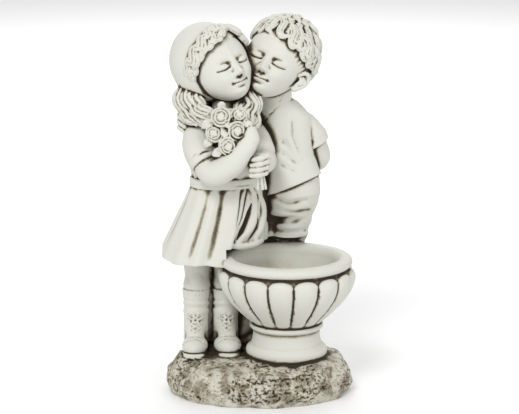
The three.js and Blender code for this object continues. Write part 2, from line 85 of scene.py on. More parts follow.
class Region(IntEnum):
    """What a spot of the casting shows, which decides how it takes the stain and the painted shade."""

    ROCK = 0
    BOWL = 1
    CLOTH = 2
    SKIN = 3
    HAIR = 4
    FLOWERS = 5
    BOOTS = 6
    BOWL_INSIDE = 7
    WEB = 8


class Joint(Enum):
    """How softly a form flows into the ones it meets, in millimetres of blend."""

    CRISP = 0.8
    CARVED = 1.6
    SOFT = 3.0


def stand(name: str, data: bpy.types.ID) -> bpy.types.Object:
    """Puts an object with the data into the scene.

    Args:
        name: the object's name.
        data: its mesh, lamp or camera.

    Returns:
        The object, at the origin.
    """
    thing = bpy.data.objects.new(name, data)
    bpy.context.scene.collection.objects.link(thing)
    return thing


def smoothstep(value: Array, low: float, high: float) -> Array:
    """Rises smoothly from 0 at low to 1 at high."""
    share = np.clip((value - low) / (high - low), 0.0, 1.0)
    return share * share * (3.0 - 2.0 * share)


def bump(value: Array, width: float) -> Array:
    """A bell that is 1 at zero and falls off over the width."""
    return np.exp(-((value / width) ** 2))


def lerp(low: Array | float, high: Array | float, share: Array | float) -> Array:
    """Runs evenly from low to high as the share goes from 0 to 1."""
    return low + (high - low) * share


def along(stations: Sequence[float], t: Array) -> Array:
    """A value that runs through evenly spaced stations, eased a little at each.

    Args:
        stations: the values at even steps.
        t: places from 0 to 1.

    Returns:
        The value at each place.
    """
    values = np.asarray(stations, dtype=float)
    at = np.clip(t, 0.0, 1.0) * (len(values) - 1)
    index = np.minimum(at.astype(int), len(values) - 2)
    share = at - index
    eased = 0.5 * share * share * (3.0 - 2.0 * share) + 0.5 * share
    return values[index] + (values[index + 1] - values[index]) * eased


def unit_rows(vectors: Array) -> Array:
    """Scales each vector to length 1."""
    return vectors / np.maximum(np.linalg.norm(vectors, axis=-1, keepdims=True), 1e-9)


def xyz(x: Array, y: Array, z: Array) -> Array:
    """Points from their three parts, spread to one shape."""
    return np.stack(np.broadcast_arrays(x, y, z), -1)


def corner_share(share: Array, corner: Array) -> Array:
    """How much one corner of a cell counts at each place: the product of the shares towards it."""
    return np.prod(np.where(corner == 1, share, 1.0 - share), axis=-1)


def value_noise(points: Array, size: float, seed: int) -> Array:
    """Smooth noise from -1 to 1: hashed values at the corners of a lattice, blended by eased shares.

    Args:
        points: places, in millimetres.
        size: the lattice's cell, in millimetres.
        seed: which noise.

    Returns:
        One value for each place.
    """
    scaled = points / size + NOISE_OFFSET + seed * 17.0
    cell = np.floor(scaled).astype(np.int64)
    share = scaled - cell
    share = share * share * (3.0 - 2.0 * share)
    total = np.zeros(points.shape[:-1])
    for corner in CORNERS:
        x, y, z = np.moveaxis(cell + corner, -1, 0)
        hashed = (x * PRIMES[0]) ^ (y * PRIMES[1]) ^ (z * PRIMES[2]) ^ (seed * PRIMES[3])
        hashed = (hashed ^ (hashed >> 13)) * PRIMES[4] % HASHES
        total += corner_share(share, corner) * (hashed / ((HASHES - 1) / 2) - 1.0)
    return total


def fractal_noise(points: Array, size: float, octaves: int, seed: int) -> Array:
    """Noise summed over octaves, each half as large and half as strong as the one before.

    Args:
        points: places, in millimetres.
        size: the widest lattice's cell, in millimetres.
        octaves: how many noises are summed.
        seed: which noise.

    Returns:
        One value for each place.
    """
    total = np.zeros(points.shape[:-1])
    for octave in range(octaves):
        total += value_noise(points, size / 2**octave, seed + octave) * 0.5**octave
    return total


@dataclass(frozen=True)
class Surface:
    """A closed surface: its points, in millimetres, and the quads between them."""

    points: Array
    quads: Array


def closed(grid: Array) -> Surface:
    """Joins a grid of points into a closed surface.

    Args:
        grid: rows that run from pole to pole, each with columns that run all the way round.

    Returns:
        The surface through every point of the grid.
    """
    rows, columns = grid.shape[:2]
    index = np.arange(rows * columns).reshape(rows, columns)
    after = np.roll(index, -1, axis=1)
    quads = np.stack([index[:-1], index[1:], after[1:], after[:-1]], axis=-1)
    return Surface(grid.reshape(-1, 3).astype(np.float32), quads.reshape(-1, 4).astype(np.uint32))


def curve_through(points: Sequence[Point], t: Array) -> Array:
    """A centripetal Catmull-Rom curve: each stretch's cubic has chord-root knots.

    Args:
        points: what the curve runs through.
        t: places from 0 to 1, spaced evenly over the stretches.

    Returns:
        A point for each place.
    """
    given = np.asarray(points, dtype=float)
    knots = np.vstack([2 * given[0] - given[1], given, 2 * given[-1] - given[-2]])
    at = np.clip(t, 0.0, 1.0) * (len(given) - 1)
    i = np.minimum(at.astype(int), len(given) - 2)
    w = (at - i)[:, None]
    p0, p1, p2, p3 = (knots[i + k] for k in range(4))
    chords = ((p0, p1), (p1, p2), (p2, p3))
    d0, d1, d2 = (np.sqrt(np.linalg.norm(b - a, axis=1, keepdims=True)) for a, b in chords)
    m1 = ((p1 - p0) / d0 - (p2 - p0) / (d0 + d1) + (p2 - p1) / d1) * d1
    m2 = ((p2 - p1) / d1 - (p3 - p1) / (d1 + d2) + (p3 - p2) / d2) * d1
    c2 = -3 * p1 + 3 * p2 - 2 * m1 - m2
    c3 = 2 * p1 - 2 * p2 + m1 + m2
    return p1 + w * (m1 + w * (c2 + w * c3))


@dataclass(frozen=True)
class Strands:
    """Grooves that run along a limb, such as the strands of a lock of hair."""

    count: int = 0
    depth: float = 0.0
    twist: float = 0.0

    def relief(self, angle: Array, t: Array) -> Array:
        """Share of the radius left: one less a comb of rounded grooves that twist along the limb."""
        comb = np.abs(np.sin(angle * self.count / 2 + self.twist * t))
        return 1.0 - self.depth * (1.0 - comb) ** 1.5


Outward = Callable[[Array], Array]
Relief = Callable[[Array, Array], Array]


def tube(
    points: Sequence[Point],
    radii: Sequence[float],
    wide: float = 1.0,
    flat: float = 1.0,
    out: Outward | None = None,
    relief: Relief | None = None,
    steps: int = 40,
    sides: int = 32,
    cap: float = 1.0,
) -> Surface:
    """A round-ended limb: a circle carried along a curve, with a half ball at each end.

    Args:
        points: what the curve runs through.
        radii: thickness at even stations along it.
        wide: stretch across the outward direction.
        flat: stretch in the outward direction.
        out: gives the outward direction at each centre.
        relief: share of the radius at an angle round the limb and a place along it.
        steps: rings along the limb.
        sides: points round it.
        cap: how far the ends bulge, as a share of the radius.

    Returns:
        The closed surface.
    """
    swing = np.linspace(-math.pi / 2, 0.0, 9)[:-1]
    t = np.concatenate([np.zeros(8), np.linspace(0, 1, steps), np.ones(8)])
    lift = np.concatenate([np.sin(swing), np.zeros(steps), -np.sin(swing)[::-1]])
    narrow = np.concatenate([np.cos(swing), np.ones(steps), np.cos(swing)[::-1]])
    centre = curve_through(points, t)
    tangent = unit_rows(curve_through(points, t + 1e-3) - curve_through(points, t - 1e-3))
    normal = out(centre) if out else np.tile(np.array([0.13, -1.0, 0.21]), (len(t), 1))
    normal = unit_rows(normal - tangent * np.sum(normal * tangent, axis=1, keepdims=True))
    side = np.cross(tangent, normal)
    radius = along(radii, t)
    angle = np.linspace(0, TURN, sides, endpoint=False)
    share = relief(angle[None, :], t[:, None]) if relief else np.ones((len(t), sides))
    reach = (radius * narrow)[:, None] * share
    across = (reach * np.cos(angle) * wide)[..., None] * side[:, None]
    ahead = (reach * np.sin(angle) * flat)[..., None] * normal[:, None]
    ends = (tangent * (lift * radius * cap)[:, None])[:, None]
    return closed(centre[:, None] + ends + across + ahead)


def wrapped(bearing: Array, at: Array | float) -> Array:
    """How far a bearing is from another, the short way round, in radians."""
    return np.arctan2(np.sin(bearing - at), np.cos(bearing - at))


def sphere_angles(rows: int, columns: int) -> tuple[Array, Array]:
    """The bearing from the front and the fall from the top pole, on a grid of rows by columns.

    Args:
        rows: steps from pole to pole.
        columns: steps round.

    Returns:
        The bearings and the falls, in radians.
    """
    fall = np.linspace(0, math.pi, rows)[:, None]
    bearing = np.linspace(-math.pi, math.pi, columns, endpoint=False)[None, :]
    return np.broadcast_to(bearing, (rows, columns)), np.broadcast_to(fall, (rows, columns))


@dataclass(frozen=True)
class Canon:
    """Turns places of the figures, in thousandths of their height, into millimetres."""

    height: float = 544.0
    ground: float = 51.5

    @property
    def unit(self) -> float:
        """One thousandth of the figures' height."""
        return self.height / 1000.0

    def place(self, point: Point) -> Array:
        """A point of the figures in millimetres."""
        x, y, z = point
        return np.array([x * self.unit, y * self.unit, self.ground + z * self.unit])

    def limb(self, points: Sequence[Point], radii: Sequence[float], **style) -> Surface:
        """A limb of a figure: a tube whose path and thickness are in thousandths."""
        return tube([self.place(p) for p in points], [r * self.unit for r in radii], **style)

    def egg(
        self,
        centre: Point,
        halves: Point,
        turn: float = 0.0,
        lean: float = 0.0,
        swell: Relief | None = None,
        rows: int = 40,
    ) -> Surface:
        """An ellipsoid: sine and cosine of two angles, times the half sizes.

        Args:
            centre: its middle.
            halves: half sizes across, deep and high.
            turn: degrees about Z.
            lean: degrees sideways.
            swell: share of the radius at a bearing and a fall.
            rows: rings from pole to pole.

        Returns:
            The closed surface.
        """
        bearing, fall = sphere_angles(rows, rows * 2)
        share = swell(bearing, fall) if swell else 1.0
        rx, ry, rz = (half * self.unit for half in halves)
        across = np.sin(fall) * np.sin(bearing) * rx * share
        ahead = -np.sin(fall) * np.cos(bearing) * ry * share
        local = xyz(across, ahead, np.cos(fall) * rz * share)
        return closed(local @ spin(turn, lean).T + self.place(centre))

    def trunk(
        self,
        levels: Sequence[Point],
        turn: float = 0.0,
        slope: float = 0.0,
        dip: float = 0.0,
        fold: Relief | None = None,
        drop: Relief | None = None,
        rows: int = 140,
        columns: int = 260,
    ) -> Surface:
        """A body part of level ovals from the top down, with folds and a shaped lower edge.

        Args:
            levels: z, x, y, half width and half depth of each oval.
            turn: degrees about Z.
            slope: how much the figure's left side is lifted towards the bottom.
            dip: how much the front is lowered towards the bottom.
            fold: how far the cloth stands out at a bearing and a share of the height.
            drop: how much lower the cloth hangs there, in thousandths.
            rows: rings from top to bottom.
            columns: points round it.

        Returns:
            The closed surface.
        """
        bearing, fall = sphere_angles(rows, columns)
        rise = fall / math.pi
        z, x, y, half_width, half_depth = (along([level[i] for level in levels], rise) for i in range(5))
        edge = np.minimum(1.0, np.sin(math.pi * rise) * 2.2) ** 0.5
        reach = (1.0 + (fold(bearing, rise) if fold else 0.0)) * edge
        across = np.sin(bearing) * half_width * reach
        ahead = -np.cos(bearing) * half_depth * reach
        a = math.radians(turn)
        grid = xyz(
            x + across * math.cos(a) - ahead * math.sin(a),
            y + across * math.sin(a) + ahead * math.cos(a),
            z + rise**2 * (slope * across + dip * ahead) - (drop(bearing, rise) if drop else 0.0),
        )
        return closed(grid * self.unit + np.array([0, 0, self.ground]))


def spin(turn: float, lean: float = 0.0, nod: float = 0.0) -> Array:
    """A rotation: nod about X, then turn about Z, then lean about Y, in degrees.

    Args:
        turn: degrees about Z.
        lean: degrees about Y.
        nod: degrees about X.

    Returns:
        The matrix.
    """
    t, l, n = (math.radians(v) for v in (turn, lean, nod))
    about_x = np.array([[1, 0, 0], [0, math.cos(n), -math.sin(n)], [0, math.sin(n), math.cos(n)]])
    about_y = np.array([[math.cos(l), 0, math.sin(l)], [0, 1, 0], [-math.sin(l), 0, math.cos(l)]])
    about_z = np.array([[math.cos(t), -math.sin(t), 0], [math.sin(t), math.cos(t), 0], [0, 0, 1]])
    return about_y @ about_z @ about_x


class Casting:
    """The lump that is carved: signed distances on a lattice, and what each spot of it shows."""

    BAND = 4

    def __init__(self, low: Point, high: Point, voxel: float) -> None:
        """Starts empty.

        Args:
            low: lowest corner, in millimetres.
            high: highest corner, in millimetres.
            voxel: lattice step, in millimetres.
        """
        self.voxel = voxel
        self.low = np.floor(np.asarray(low) / voxel).astype(int) - self.BAND - 2
        top = np.ceil(np.asarray(high) / voxel).astype(int) + self.BAND + 2
        self.shape = tuple(top - self.low + 1)
        self.far = self.BAND * voxel
        self.depth = np.full(self.shape, self.far, dtype=np.float32)
        self.region = np.zeros(self.shape, dtype=np.uint8)
        self.forms = 0

    def _measure(self, surface: Surface) -> tuple[tuple[slice, ...], Array] | None:
        """Distances to one surface, and the stretch of the lattice that they cover.

        Args:
            surface: the form.

        Returns:
            The stretch and its distances, or nothing where the form misses the lattice.
        """
        transform = vdb.createLinearTransform(voxelSize=self.voxel)
        grid = vdb.FloatGrid.createLevelSetFromPolygons(
            surface.points, quads=surface.quads, transform=transform, halfWidth=self.BAND
        )
        low, high = (np.array(corner) for corner in grid.evalActiveVoxelBoundingBox())
        low = np.maximum(low, self.low)
        high = np.minimum(high, self.low + np.array(self.shape) - 1)
        if np.any(high < low):
            return None
        values = np.empty(tuple(high - low + 1), dtype=np.float32)
        grid.copyToArray(values, ijk=tuple(int(v) for v in low))
        start = low - self.low
        return tuple(slice(a, a + n) for a, n in zip(start, values.shape)), values

    def _blend(self, surface: Surface, joint: Joint, side: int, region: Region | None = None) -> None:
        """Joins a form to the stone or to the space round it.

        The smaller distance is taken, less a quarter of the joint's width where the two are alike. The
        rounding stays inside the band, where the distances are true.

        Args:
            surface: the form.
            joint: how softly it meets the rest.
            side: 1 for the stone, -1 for the space.
            region: what the form shows.
        """
        found = self._measure(surface)
        if found is None:
            return
        where, new = found
        old = side * self.depth[where]
        limit = self.far * 0.99
        if region is not None:
            self.region[where] = np.where(new < np.minimum(old, limit), np.uint8(region), self.region[where])
        near = np.maximum(0.0, 1.0 - np.abs(new - old) / joint.value)
        near[(np.abs(new) > limit) | (np.abs(old) > limit)] = 0.0
        self.depth[where] = side * (np.minimum(new, old) - near * near * joint.value * 0.25)
        self.forms += 1

    def add(self, region: Region, joint: Joint, *surfaces: Surface) -> None:
        """Joins forms to the stone, one after the other."""
        for surface in surfaces:
            self._blend(surface, joint, 1, region)

    def cut(self, surface: Surface, joint: Joint = Joint.CRISP) -> None:
        """Takes a form away from the stone."""
        self._blend(surface, joint, -1)

    def cells(self, points: Array) -> tuple[Array, ...]:
        """The voxel that each point lies in, kept inside the lattice."""
        at = np.rint(points / self.voxel - self.low).astype(int)
        return tuple(np.moveaxis(np.clip(at, 0, np.array(self.shape) - 1), -1, 0))

    def keep_within(self, low: Array, high: Array) -> None:
        """Trims the casting to a box: the larger of the distance and the box's.

        Args:
            low: lowest corner, in millimetres.
            high: highest corner, in millimetres.
        """
        for axis in range(3):
            place = (np.arange(self.shape[axis]) + self.low[axis]) * self.voxel
            beyond = np.maximum(low[axis] - place, place - high[axis]).astype(np.float32)
            shape = [1, 1, 1]
            shape[axis] = -1
            np.maximum(self.depth, np.clip(beyond, -self.far, self.far).reshape(shape), out=self.depth)

    def skin(self) -> tuple[Array, Array]:
        """The surface where the distance is zero: its points, in millimetres, and its quads."""
        grid = vdb.FloatGrid(self.far)
        grid.copyFromArray(self.depth, ijk=tuple(int(v) for v in self.low))
        grid.transform = vdb.createLinearTransform(voxelSize=self.voxel)
        points, quads = grid.convertToQuads(isovalue=0.0)
        return points, quads

    def sample(self, lattice: Array, points: Array, step: int = 1) -> Array:
        """Reads a lattice at points, blending the eight voxels round each.

        Args:
            lattice: one value for each voxel, or for each block of `step` voxels.
            points: places in millimetres.
            step: voxels to a block.

        Returns:
            One value for each point.
        """
        offset = (step - 1) / 2.0
        at = (points / self.voxel - self.low - offset) / step
        at = np.clip(at, 0, np.array(lattice.shape) - 1.001)
        cell = at.astype(int)
        share = at - cell
        total = np.zeros(len(points))
        for corner in CORNERS:
            total += corner_share(share, corner) * lattice[tuple((cell + corner).T)]
        return total

    def fullness(self, blocks: int, passes: int) -> Array:
        """How full of stone the neighbourhood is: the share of stone, blurred.

        Args:
            blocks: voxels to a block along each axis.
            passes: how often a 1-2-1 blur is run along each axis.

        Returns:
            A lattice of shares from 0 to 1.
        """
        stone = np.clip(0.5 - self.depth / (2 * self.voxel), 0.0, 1.0)
        if blocks > 1:
            counts = [n // blocks for n in self.shape]
            stone = stone[tuple(slice(n * blocks) for n in counts)]
            stone = stone.reshape([n for count in counts for n in (count, blocks)])
            stone = stone.mean(axis=(1, 3, 5), dtype=np.float32)
        for axis in range(3):
            rows = np.moveaxis(stone, axis, 0)
            for _ in range(passes):
                rows[1:-1] = 0.25 * rows[:-2] + 0.5 * rows[1:-1] + 0.25 * rows[2:]
        return stone


@dataclass(frozen=True)
class Rock:
    """The rough low rock that everything stands on, in millimetres."""

    width: float = 300.0
    depth: float = 268.0
    height: float = 54.5
    edge: float = 30.0
    relief: float = 5.0
    oblong: float = 2.4

    def surface(self) -> Surface:
        """A rounded oblong slab: an outline swept round, pushed out by lumps and by rock noise.

        The reach at a bearing is (|sin|^k + |cos|^k)^(-1/k), which squares the circle up a little.
        """
        rows, columns = 260, 760
        rounded = 1 - self.edge / (self.width / 2)
        reaches = (0, 0.96, 1, 0.99, rounded + 0.08, rounded - 0.06, 0)
        rises = (0, 0, 0.3, 0.62, 0.93, 1, 1)
        lengths = np.cumsum([0, 0.5, 0.35, 0.35, 0.4, 0.25, 0.9])
        s = np.linspace(0, lengths[-1], rows)
        reach, rise = (np.interp(s, lengths, stops)[:, None] for stops in (reaches, rises))
        angle = np.linspace(-math.pi, math.pi, columns, endpoint=False)[None, :]
        lump = np.sin(angle * 5 + 1) + np.sin(angle * 9 + rise * 4) + np.sin(angle * 14 + rise * 7)
        out = lump / 3 * self.relief * smoothstep(reach, 0.5, 1.0)
        power = self.oblong
        square = (np.abs(np.sin(angle)) ** power + np.abs(np.cos(angle)) ** power) ** (-1 / power)
        base = xyz(
            np.sin(angle) * (square * reach * (self.width / 2 - self.relief) + out),
            -np.cos(angle) * (square * reach * (self.depth / 2 - self.relief) + out),
            rise * self.height,
        )
        patches = smoothstep(value_noise(base, 34.0, 21), -0.25, 0.35)
        stretched = base * np.array([1.0, 1.0, 1.7])
        scratches = np.abs(fractal_noise(stretched, 9.0, 3, 9))
        carved = patches * 3.4 * (1 - smoothstep(scratches, 0.05, 0.4))
        crags = fractal_noise(base, 26.0, 5, 3) * 2.6 - carved
        outward = xyz(base[..., 0] / self.width, base[..., 1] / self.depth, (rise - 0.35) * 0.6)
        free = smoothstep(rise, 0.02, 0.2)[..., None]
        return closed(base + unit_rows(outward) * crags[..., None] * free)


@dataclass(frozen=True)
class Bowl:
    """The lobed planter bowl on its turned foot, in millimetres."""

    x: float = 43.0
    y: float = -8.0
    seat: float = 52.5
    height: float = 165.0
    radius: float = 110.0
    neck_radius: float = 54.0
    waist_radius: float = 54.0
    foot_radius: float = 65.0
    foot_height: float = 57.0
    foot_band: float = 17.0
    bead_height: float = 9.0
    bead_out: float = 4.5
    tuck: float = 5.0
    rim_radius: float = 104.5
    rim_width: float = 24.0
    rim_height: float = 17.0
    hollow_depth: float = 74.0
    hollow_floor: float = 40.0
    lobes: int = 16
    lobe_depth: float = 9.0
    lobe_turn: float = math.radians(5.5)
    gap: float = 14.0
    room_inset: float = 6.0

    @property
    def belly_top(self) -> float:
        """Height where the belly meets the rim."""
        return self.height - self.rim_height + 3.0

    def belly_radius(self, share: Array) -> Array:
        """Radius at a share of the belly's height: a sine that swells, then tucks in under the rim.

        Args:
            share: shares of the belly's height.

        Returns:
            The radius at each share.
        """
        widest = 0.84
        swell = np.sin(np.minimum(share / widest, 1.0) * math.pi / 2) ** 0.95
        tucked = self.tuck * smoothstep(share, widest, 1.0)
        return self.neck_radius + (self.radius - self.neck_radius) * swell - tucked

    def turned(self, outline: Array, cut: Relief | None = None, columns: int = 720) -> Surface:
        """An outline of radius and height, run in to the axis at its ends and turned about it, less a cut.

        Args:
            outline: radius and height at each stop.
            cut: depth of the carving at a bearing and a height.
            columns: points round.

        Returns:
            The closed surface.
        """
        whole = np.vstack([[[0.0, outline[0][1]]], outline, [[0.0, outline[-1][1]]]])
        radius, height = whole[:, :1], whole[:, 1:]
        angle = np.linspace(0, TURN, columns, endpoint=False)[None, :]
        kept = np.maximum(radius - (cut(angle, height) if cut else 0.0), 0.0)
        facing = angle + self.lobe_turn
        return closed(xyz(self.x + np.sin(facing) * kept, self.y - np.cos(facing) * kept, self.seat + height))

    def smooth_outline(self, stops: Sequence[tuple[float, float]], steps: int = 12) -> Array:
        """Fills an outline in with a Catmull-Rom curve through its stops."""
        flat = [(r, h, 0.0) for r, h in stops]
        return np.maximum(curve_through(flat, np.linspace(0, 1, (len(stops) - 1) * steps + 1))[:, :2], 0.0)

    def lobe_cut(self, angle: Array, height: Array) -> Array:
        """Depth of the carving: round lobes with grooves between them, which end in arches under the rim.

        Across a lobe the cut is that of a circle's arc; above the arch it falls back to the recess.

        Args:
            angle: bearings, in radians.
            height: heights, in millimetres.

        Returns:
            The depth of the cut.
        """
        share = (height - self.foot_height) / (self.belly_top - self.foot_height)
        across = np.arccos(np.abs(np.sin(angle * self.lobes / 2))) / (math.pi / 2)
        round_ = 1.0 - np.sqrt(1.0 - 0.985 * across**2)
        arch = 0.74 + 0.16 * np.sqrt(np.maximum(1.0 - across**2, 0.0))
        above = smoothstep(share - arch, 0.0, 0.06)
        shoulder = bump(share - arch, 0.07) * 0.12
        carving = np.maximum(round_ + shoulder, above * 0.92)
        return self.lobe_depth * smoothstep(share, -0.04, 0.22) * carving

    def belly(self) -> Surface:
        """The lobed belly: the swelling outline less the lobes' carving."""
        share = np.linspace(0, 1, 120)
        side = np.stack([self.belly_radius(share), lerp(self.foot_height, self.belly_top, share)], -1)
        return self.turned(side, self.lobe_cut)

    def rim(self) -> Surface:
        """The fat roll round the mouth: a superellipse turned about the axis."""
        middle = self.rim_radius - self.rim_width / 2
        a = np.linspace(-math.pi / 2, math.pi / 2, 40)
        out = np.sign(np.cos(a)) * np.abs(np.cos(a)) ** 0.8
        height = self.height + (np.sin(a) - 1) * self.rim_height / 2
        return self.turned(np.stack([middle + out * self.rim_width / 2, height], -1))

    def hollow(self) -> Surface:
        """The dish inside: a parabola from the mouth down to the floor, rolled over at the lip."""
        mouth = self.rim_radius - self.rim_width
        share = np.linspace(1, 0, 40)
        height = lerp(self.height - self.rim_height * 0.7, self.height - self.hollow_depth, share)
        side = np.stack([lerp(mouth, self.hollow_floor, share**2), height], -1)
        lip = [[mouth + out, self.height + up] for out, up in ((2.0, -6.0), (7.0, 0.2), (9.0, 3.0))]
        return self.turned(np.vstack([side, lip]))

    def foot(self) -> Surface:
        """The foot: a band on the rock, a hollow waist and a bead under the belly."""
        band, top = self.foot_band, self.foot_height
        stops = [
            (self.foot_radius - 1.5, 0.0),
            (self.foot_radius, band * 0.4),
            (self.foot_radius - 1.0, band * 0.9),
            (self.waist_radius + 3.0, band * 1.35),
            (self.waist_radius, band * 1.9),
            (self.waist_radius, top - self.bead_height * 1.15),
            (self.neck_radius + self.bead_out, top - self.bead_height * 0.75),
            (self.neck_radius + self.bead_out, top - self.bead_height * 0.3),
            (self.neck_radius, top + 1.0),
        ]
        return self.turned(self.smooth_outline(stops))

    def room(self) -> Surface:
        """The space that the bowl and its mouth take from what stands behind."""
        share = np.array([0.05, 0.4, 0.8])
        radius = self.belly_radius(share) - self.lobe_depth - 3.0
        side = np.stack([radius, lerp(self.foot_height, self.belly_top, share)], -1)
        reach = self.rim_radius - self.room_inset
        return self.turned(np.vstack([side, [[reach, self.belly_top], [reach, self.height + self.gap]]]))

    def carve(self, casting: Casting) -> None:
        """Puts the bowl into the casting.

        Args:
            casting: the casting.
        """
        casting.add(Region.BOWL, Joint.CARVED, self.foot())
        casting.add(Region.BOWL, Joint.CRISP, self.belly())
        casting.add(Region.BOWL_INSIDE, Joint.CRISP, self.rim())
        casting.cut(self.hollow(), Joint.SOFT)


@dataclass(frozen=True)
class Head:
    """A child's head. In its own frame the height is 1, the face looks along -y and z is 0 halfway up."""

    canon: Canon
    middle: Point
    height: float
    turn: float
    lean: float
    nod: float
    mass: float = 0.93
    mass_middle: Point = (0.0, 0.12, 0.09)

    @property
    def size(self) -> float:
        """The head's height in millimetres."""
        return self.height * self.canon.unit

    def to_part(self, local: Array) -> Array:
        """Places of the head's frame in millimetres of the part."""
        rotation = spin(self.turn, self.lean, self.nod)
        return (local * self.size) @ rotation.T + self.canon.place(self.middle)

    def point(self, x: float, y: float, z: float) -> Array:
        """One place of the head's frame in millimetres of the part."""
        return self.to_part(np.array([x, y, z]))

    def over(self, middle: Point, halves: Point, bearing: Array, rise: Array, lift: Array) -> Array:
        """Points over an ellipsoid of the head's frame.

        Args:
            middle: its middle.
            halves: its half sizes.
            bearing: degrees from the face.
            rise: degrees above the level.
            lift: how far off the ellipsoid.

        Returns:
            The points in millimetres of the part.
        """
        a, b = np.radians(bearing), np.radians(rise)
        across, deep, high = (half + np.asarray(lift) for half in halves)
        x, y, z = middle
        ahead = y - np.cos(a) * (np.cos(b) * deep)
        return self.to_part(xyz(x + np.sin(a) * (np.cos(b) * across), ahead, z + np.sin(b) * high))

    def over_skull(self, bearing: Array, rise: Array, lift: Array) -> Array:
        """Points over the skull."""
        return self.over((0.0, 0.05, 0.1), (0.385, 0.45, 0.4), bearing, rise, lift)

    def over_hair(self, bearing: Array, rise: Array, lift: Array) -> Array:
        """Points over the mass of hair."""
        halves = (0.445 * self.mass, 0.46 * self.mass, 0.49 * self.mass)
        return self.over(self.mass_middle, halves, bearing, rise, lift)

    def features(self, x: Array, z: Array) -> Array:
        """How far a calm child's features stand out at x across and z up: a sum of bells and ridges.

        Eyes sit just below the middle, the nose ends halfway from there to the chin, and the lids are closed.

        Args:
            x: places across.
            z: places up.

        Returns:
            The relief, as a share of the head's height.
        """
        side = np.abs(x)
        rise = smoothstep(z, -0.24, -0.185) * lerp(0.085, 0.01, smoothstep(z, -0.19, 0.02))
        nose = bump(x, lerp(0.05, 0.036, smoothstep(z, -0.19, -0.06))) * rise
        ball = bump(x, 0.045) * bump(z + 0.188, 0.036) * 0.024
        wings = bump(side - 0.052, 0.026) * bump(z + 0.2, 0.028) * 0.034
        nostrils = bump(side - 0.028, 0.018) * bump(z + 0.228, 0.013) * -0.036
        across = (side - 0.155) / 0.088
        bowed = np.maximum(1.0 - across**2, 0.0)
        within = 1 - smoothstep(np.abs(across), 0.75, 1.15)
        brows = bump(across - 0.1, 1.0) * bump(z - 0.055 + 0.02 * across**2, 0.04) * 0.014
        sockets = bump(side - 0.12, 0.08) * bump(z + 0.02, 0.05) * -0.026
        corner = bump(side - 0.075, 0.028) * bump(z + 0.035, 0.035) * -0.018
        dome = bump(across, 0.85) * bump(z + 0.052, 0.036) * 0.034
        lashes = bump(z + 0.076 + 0.016 * bowed, 0.0115) * within * -0.028
        lower_lid = bump(z + 0.106 + 0.012 * bowed, 0.018) * within * 0.008
        bow = z + 0.287 + 0.004 * bump(x, 0.02)
        upper = bump(bow, 0.017) * np.maximum(1 - (side / 0.105) ** 2, 0.0) * 0.034
        lower = bump(z + 0.325, 0.021) * np.maximum(1 - (side / 0.085) ** 2, 0.0) ** 0.7 * 0.04
        line = bump(z + 0.307 - side * 0.13, 0.0105) * (1 - smoothstep(side, 0.085, 0.12)) * -0.032
        dimple = bump(side - 0.112, 0.022) * bump(z + 0.296, 0.022) * -0.014
        groove = bump(x, 0.016) * bump(z + 0.255, 0.018) * -0.01
        under = bump(x, 0.07) * bump(z + 0.365, 0.024) * -0.01
        chin = bump(x, 0.085) * bump(z + 0.42, 0.045) * 0.04
        cheeks = bump(side - 0.2, 0.105) * bump(z + 0.19, 0.1) * 0.042
        mouth = upper + lower + line + dimple + groove + under
        eyes = brows + sockets + corner + dome + lashes + lower_lid
        return nose + ball + wings + nostrils + eyes + mouth + chin + cheeks

    def skull(self) -> Surface:
        """The head: half sizes change with height, the chin is carried forward, the features stand out.

        The fall is crowded towards the face, as is the bearing, so that the features get more points.
        """
        rows, columns = 420, 520
        even, fall = sphere_angles(rows, columns)
        bearing = even - 0.5 * np.sin(even)
        up = np.cos(fall + 0.25 * (np.sin(2 * fall - 0.6) + math.sin(0.6)))
        round_ = np.sqrt(np.maximum(0.0, 1 - up * up))
        low = np.maximum(0.0, -up)
        facing = np.cos(bearing)
        x = np.sin(bearing) * round_ * (0.385 - 0.04 * low)
        front = round_ ** (1 - 0.2 * low) * (0.4 - 0.06 * low)
        back = round_ * (0.46 - 0.06 * low)
        deep = np.where(facing > 0, front, back)
        z = up * 0.5
        face = self.features(x, z) * smoothstep(facing, 0.0, 0.35) * smoothstep(round_, 0.0, 0.4)
        return closed(self.to_part(xyz(x, -facing * deep - 0.13 * low**1.6 - face, z)))

    def lock(self, points: Array, width: float, seed: int) -> Surface:
        """A lock of hair: a flattened limb with strands, lying on the skull and thinning to its tip.

        Args:
            points: its path, in millimetres.
            width: half its width, as a share of the head's height.
            seed: which lock.

        Returns:
            The lock.
        """
        heart = self.point(0.0, 0.08, 0.08)
        strands = Strands(count=7, depth=0.36, twist=1.3 * math.sin(seed * 2.4))
        return tube(
            points,
            [share * width * self.size for share in (0.55, 0.95, 1.0, 0.85, 0.4)],
            flat=0.8,
            out=lambda centre: centre - heart,
            relief=strands.relief,
            steps=48,
            sides=56,
        )

    def wavy_lock(
        self, bearing: float, rises: tuple[float, float], width: float, drift: float, seed: int
    ) -> Surface:
        """A lock that waves from side to side over the mass of hair and lifts towards its tip.

        Args:
            bearing: where it starts.
            rises: its first and last rise above the level.
            width: half its width, as a share of the head's height.
            drift: degrees that it turns about the head on its way.
            seed: which lock.

        Returns:
            The lock.
        """
        t = np.linspace(0, 1, 9)
        rise = lerp(rises[0], rises[1], t)
        wave = np.sin(t * math.pi * 2.3 + 0.5 * math.sin(seed * 1.7)) * 0.038 * (0.35 + 0.65 * t)
        swing = np.degrees(wave / (0.45 * np.maximum(np.cos(np.radians(rise)), 0.3)))
        lift = lerp(-0.02, 0.032, t**0.7) - 0.03 * smoothstep(t, 0.85, 1.0)
        lift = lift + 0.01 * math.sin(seed * 3.3) + 0.008 * np.sin(t * 9 + seed)
        return self.lock(self.over_hair(bearing + drift * t + swing, rise, lift), width, seed)

